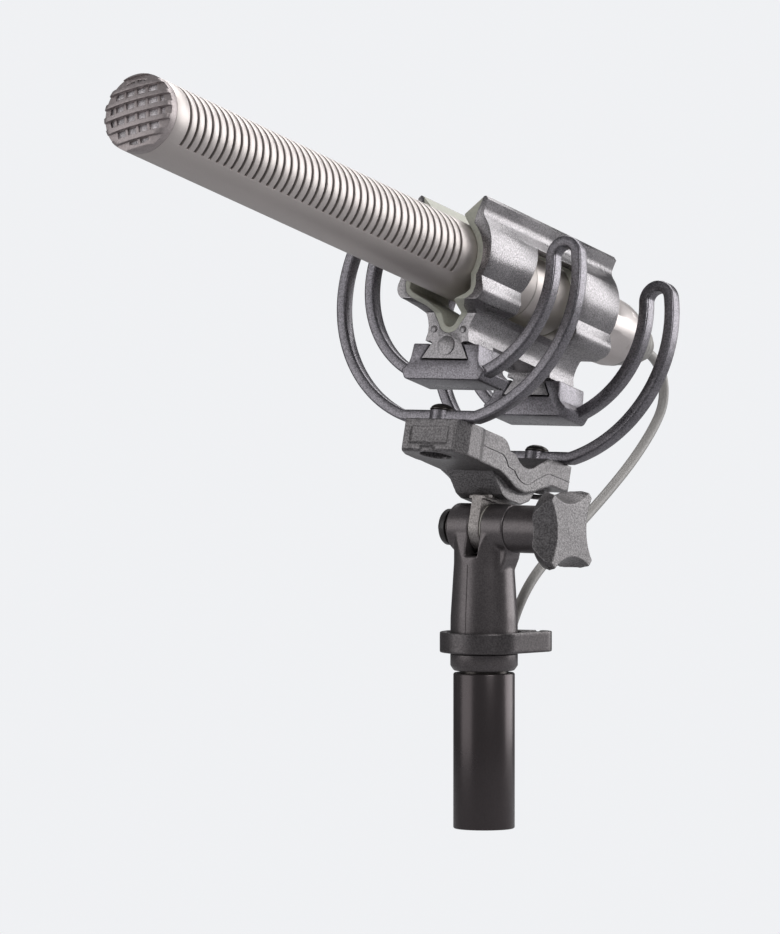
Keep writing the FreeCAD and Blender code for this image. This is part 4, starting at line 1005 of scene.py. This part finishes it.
def build_cable(settings):
    radius = settings.cable_diameter / 2
    curve = bpy.data.curves.new("microphone_cable", "CURVE")
    curve.dimensions = "3D"
    curve.bevel_depth = radius
    curve.bevel_resolution = 5
    curve.use_fill_caps = True
    spline = curve.splines.new("NURBS")
    route = cable_route()
    spline.points.add(len(route) - 1)
    for point, place in zip(spline.points, route):
        point.co = (place.x * MM, place.y * MM, place.z * MM, 1.0)
    spline.order_u = 3
    spline.use_endpoint_u = True
    spline.resolution_u = 12
    line = new_object("cable_line", curve)
    mesh = evaluated_mesh(line)
    curve.bevel_depth = 0.0
    bpy.context.view_layer.update()
    centre = evaluated_mesh(line)
    bpy.data.meshes.remove(centre)
    bpy.data.objects.remove(line)
    cable = new_object("microphone_cable", mesh)
    show(cable, "bar", "cable_grey", ["mic_cable"], ride=False)
    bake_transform(cable)


def build_inner():
    """Hidden pieces keep their CAD meshes and get their finishes."""
    record = {entry["node"]: entry["material_slot"] for entry in frame["record"]["subparts"]}
    for name, node in frame["nodes"].items():
        if not node.hide_render:
            node.data.materials.clear()
            node.data.materials.append(finish(record[name]))


# ---------------------------------------------------------------- stage

def softbox(name, location, target, size, energy):
    light = bpy.data.lights.new(name, "AREA")
    light.shape = "RECTANGLE"
    light.size, light.size_y = size
    light.energy = energy
    obj = new_object(name, light)
    obj.location = location
    obj.rotation_euler = (Vector(target) - obj.location).to_track_quat("-Z", "Y").to_euler()


def build_camera(settings):
    camera = bpy.data.cameras.new("camera")
    obj = new_object("camera", camera)
    right = Vector((0.8251, 0.5650, 0.0))
    back = Vector((0.56455, -0.82451, 0.03839)).normalized()
    up = back.cross(right).normalized()
    right = up.cross(back).normalized()
    matrix = Matrix((right, up, back)).transposed().to_4x4()
    matrix.translation = Vector((0.99425, -1.49372, 0.15936))
    obj.matrix_world = matrix
    camera.sensor_width = 36.0
    camera.sensor_fit = "AUTO"
    camera.lens = settings.lens
    camera.clip_start = 0.01
    camera.clip_end = 50.0
    bpy.context.scene.camera = obj


def paper(settings):
    """Pale seamless paper: even to the camera, plain diffuse to everything else."""
    material = bpy.data.materials.new("studio_paper")
    material.use_nodes = True
    tree = material.node_tree
    surface = tree.nodes["Principled BSDF"]
    set_inputs(tree, surface, {
        "Base Color": (0.42, 0.42, 0.43, 1.0), "Roughness": 0.9, "Specular IOR Level": 0.0})
    glow = add_node(tree, "ShaderNodeEmission", {
        "Color": settings.paper_color, "Strength": settings.paper_light})
    rays = tree.nodes.new("ShaderNodeLightPath")
    mix = add_node(tree, "ShaderNodeMixShader", {
        0: rays.outputs["Is Camera Ray"], 1: surface.outputs[0], 2: glow.outputs[0]})
    set_inputs(tree, tree.nodes["Material Output"], {"Surface": mix.outputs[0]})
    return material


def build_stage(settings):
    build_camera(settings)
    depth, height, radius, below = 3.2, 3.0, 0.8, -0.16
    curve = arc(0, 0, radius, 270, 360, 16)
    outline = [(-4.5, below)] + [(depth - radius + y, below + radius + z) for y, z in curve]
    outline += [(depth, height), (depth + 0.02, height), (depth + 0.02, below - 0.02), (-4.5, below - 0.02)]
    verts, faces = prism([(y / MM, z / MM) for y, z in outline], -4000, 4000, "X")
    floor = make("studio_floor", [(verts, faces)], Matrix.Rotation(math.radians(34.4), 4, "Z"))
    floor.data.materials.append(paper(settings))
    floor.data.shade_smooth()
    floor.data.set_sharp_from_angle(angle=math.radians(40))
    centre = (0.0, 0.0, 0.12)
    for name, location, size, share in (("right_box", (0.95, 1.30, 0.42), (1.3, 1.0), 1.0),
                                        ("top_box", (-0.05, 0.75, 1.05), (1.3, 0.9), 0.9),
                                        ("front_box", (1.25, -0.75, 1.0), (0.6, 0.6), 0.55),
                                        ("left_box", (-0.85, -1.15, 0.28), (1.2, 1.2), 0.45)):
        softbox(name, location, centre, size, settings.key_light * share)
    bpy.context.scene.view_settings.view_transform = "Standard"
    world = bpy.data.worlds.new("studio_world")
    world.use_nodes = True
    set_inputs(world.node_tree, world.node_tree.nodes["Background"], {
        "Color": (0.78, 0.79, 0.81, 1.0), "Strength": settings.room_light})
    bpy.context.scene.world = world


# ---------------------------------------------------------------- add-on

def length(name, description, default):
    return bpy.props.FloatProperty(name=name, description=description, default=default, unit="LENGTH")


def amount(name, description, default, low=0.0):
    return bpy.props.FloatProperty(name=name, description=description, default=default, min=low)


class MicrophoneTubeSettings(bpy.types.PropertyGroup):
    slot_count: bpy.props.IntProperty(
        name="Slot Count", description="Slots along the tube", default=40, min=1, max=60)
    slot_pitch: length("Slot Pitch", "Distance from slot to slot", 0.003)
    slot_width: length("Slot Width", "Width of each slot along the tube", 0.00095)
    cable_diameter: length("Cable Diameter", "Outside diameter of the cable", 0.0026)


class MicrophoneLyreSettings(bpy.types.PropertyGroup):
    strap_width: length("Strap Width", "Lyre strap in the lyre's plane", 0.0028)
    strap_depth: length("Strap Depth", "Lyre strap along the microphone", 0.0036)
    strap_corner: length("Strap Corner", "Corner radius of the strap", 0.00055)


class MicrophoneFinishSettings(bpy.types.PropertyGroup):
    grain_scale: amount("Grain Scale", "Multiplies every grain's fineness", 1.0, 0.1)
    dust: amount("Dust", "Amount of dust on upward faces", 1.0)


class MicrophoneStageSettings(bpy.types.PropertyGroup):
    lens: bpy.props.FloatProperty(
        name="Lens", description="Camera focal length in millimetres", default=277.0, unit="CAMERA")
    key_light: bpy.props.FloatProperty(
        name="Key Light", description="Power of the main softbox", default=13.5, unit="POWER")
    room_light: amount("Room Light", "Strength of the even light", 0.24)
    paper_light: amount("Paper Light", "Brightness of the paper to the camera", 1.0)
    paper_color: bpy.props.FloatVectorProperty(
        name="Paper Color", description="Colour of the paper", subtype="COLOR", size=4,
        default=(0.87, 0.88, 0.90, 1.0))


class PieceOperator:
    """Shared by the operators: each one builds one piece or group."""
    bl_options = {"REGISTER", "UNDO"}


class OBJECT_OT_microphone_stage(PieceOperator, bpy.types.Operator):
    """Add the camera, pale seamless paper and soft studio lights"""
    bl_idname = "object.microphone_stage"
    bl_label = "Studio Stage"

    def execute(self, context):
        build_stage(context.scene.microphone_stage)
        return {"FINISHED"}


class OBJECT_OT_microphone_cable(PieceOperator, bpy.types.Operator):
    """Add the cable from the connector's boot to the stand tube"""
    bl_idname = "object.microphone_cable"
    bl_label = "Cable"

    def execute(self, context):
        build_cable(context.scene.microphone_tube)
        return {"FINISHED"}


class OBJECT_OT_microphone_tube(PieceOperator, bpy.types.Operator):
    """Add the slotted interference tube, its lining and the rear body"""
    bl_idname = "object.microphone_tube"
    bl_label = "Slotted Tube"

    def execute(self, context):
        build_tube(context.scene.microphone_tube)
        return {"FINISHED"}


class OBJECT_OT_microphone_grille(PieceOperator, bpy.types.Operator):
    """Add the front grille and the net behind it"""
    bl_idname = "object.microphone_grille"
    bl_label = "Front Grille"

    def execute(self, context):
        build_grille()
        return {"FINISHED"}


class OBJECT_OT_microphone_connector(PieceOperator, bpy.types.Operator):
    """Add the connector's shell, latch and ribbed boot"""
    bl_idname = "object.microphone_connector"
    bl_label = "Connector"

    def execute(self, context):
        build_connector()
        return {"FINISHED"}


class OBJECT_OT_microphone_clip(PieceOperator, bpy.types.Operator):
    """Add the clip and its soft liner"""
    bl_idname = "object.microphone_clip"
    bl_label = "Clip"

    def execute(self, context):
        build_clip()
        return {"FINISHED"}


class OBJECT_OT_microphone_lyres(PieceOperator, bpy.types.Operator):
    """Add both lyres with their screws, washers and nuts"""
    bl_idname = "object.microphone_lyres"
    bl_label = "Lyres"

    def execute(self, context):
        build_lyres(context.scene.microphone_lyre)
        return {"FINISHED"}


class OBJECT_OT_microphone_bar(PieceOperator, bpy.types.Operator):
    """Add the suspension bar and its mould seams"""
    bl_idname = "object.microphone_bar"
    bl_label = "Suspension Bar"

    def execute(self, context):
        build_bar()
        return {"FINISHED"}


class OBJECT_OT_microphone_swivel(PieceOperator, bpy.types.Operator):
    """Add the swivel's fork, seams and tongue"""
    bl_idname = "object.microphone_swivel"
    bl_label = "Swivel"

    def execute(self, context):
        build_swivel()
        return {"FINISHED"}


class OBJECT_OT_microphone_hinge(PieceOperator, bpy.types.Operator):
    """Add the hinge's spacer, washer and cap"""
    bl_idname = "object.microphone_hinge"
    bl_label = "Hinge Hardware"

    def execute(self, context):
        build_hinge()
        return {"FINISHED"}


class OBJECT_OT_microphone_knob(PieceOperator, bpy.types.Operator):
    """Add the four-lobed clamping knob"""
    bl_idname = "object.microphone_knob"
    bl_label = "Clamping Knob"

    def execute(self, context):
        build_knob()
        return {"FINISHED"}


class OBJECT_OT_microphone_cable_clip(PieceOperator, bpy.types.Operator):
    """Add the cable clip ring round the swivel's neck"""
    bl_idname = "object.microphone_cable_clip"
    bl_label = "Cable Clip Ring"

    def execute(self, context):
        build_cable_clip()
        return {"FINISHED"}


class OBJECT_OT_microphone_stand(PieceOperator, bpy.types.Operator):
    """Add the collar, the stand tube and the cable's grommet"""
    bl_idname = "object.microphone_stand"
    bl_label = "Stand Tube"

    def execute(self, context):
        build_stand()
        return {"FINISHED"}


class OBJECT_OT_microphone_inner(PieceOperator, bpy.types.Operator):
    """Give the hidden inner pieces their finishes"""
    bl_idname = "object.microphone_inner"
    bl_label = "Inner Pieces"

    def execute(self, context):
        build_inner()
        return {"FINISHED"}


OPERATORS = (
    OBJECT_OT_microphone_stage, OBJECT_OT_microphone_cable, OBJECT_OT_microphone_tube,
    OBJECT_OT_microphone_grille, OBJECT_OT_microphone_connector, OBJECT_OT_microphone_clip,
    OBJECT_OT_microphone_lyres, OBJECT_OT_microphone_bar, OBJECT_OT_microphone_swivel,
    OBJECT_OT_microphone_hinge, OBJECT_OT_microphone_knob, OBJECT_OT_microphone_cable_clip,
    OBJECT_OT_microphone_stand, OBJECT_OT_microphone_inner,
)
SETTINGS = (
    ("microphone_tube", MicrophoneTubeSettings),
    ("microphone_lyre", MicrophoneLyreSettings),
    ("microphone_finish", MicrophoneFinishSettings),
    ("microphone_stage", MicrophoneStageSettings),
)


class VIEW3D_PT_microphone(bpy.types.Panel):
    """Lists the settings and the pieces"""
    bl_label = "Microphone"
    bl_idname = "VIEW3D_PT_microphone"
    bl_space_type = "VIEW_3D"
    bl_region_type = "UI"
    bl_category = "Microphone"

    def draw(self, context):
        layout = self.layout
        for name, group in SETTINGS:
            box = layout.box()
            for prop in group.__annotations__:
                box.prop(getattr(context.scene, name), prop)
        for operator in OPERATORS:
            layout.operator(operator.bl_idname)


def register():
    for name, group in SETTINGS:
        bpy.utils.register_class(group)
        setattr(bpy.types.Scene, name, bpy.props.PointerProperty(type=group))
    for operator in OPERATORS:
        bpy.utils.register_class(operator)
    bpy.utils.register_class(VIEW3D_PT_microphone)


def unregister():
    bpy.utils.unregister_class(VIEW3D_PT_microphone)
    for operator in reversed(OPERATORS):
        bpy.utils.unregister_class(operator)
    for name, group in reversed(SETTINGS):
        delattr(bpy.types.Scene, name)
        bpy.utils.unregister_class(group)


def main():
    register()
    for operator in OPERATORS:
        group, name = operator.bl_idname.split(".")
        getattr(getattr(bpy.ops, group), name)()


if __name__ == "__main__":
    main()
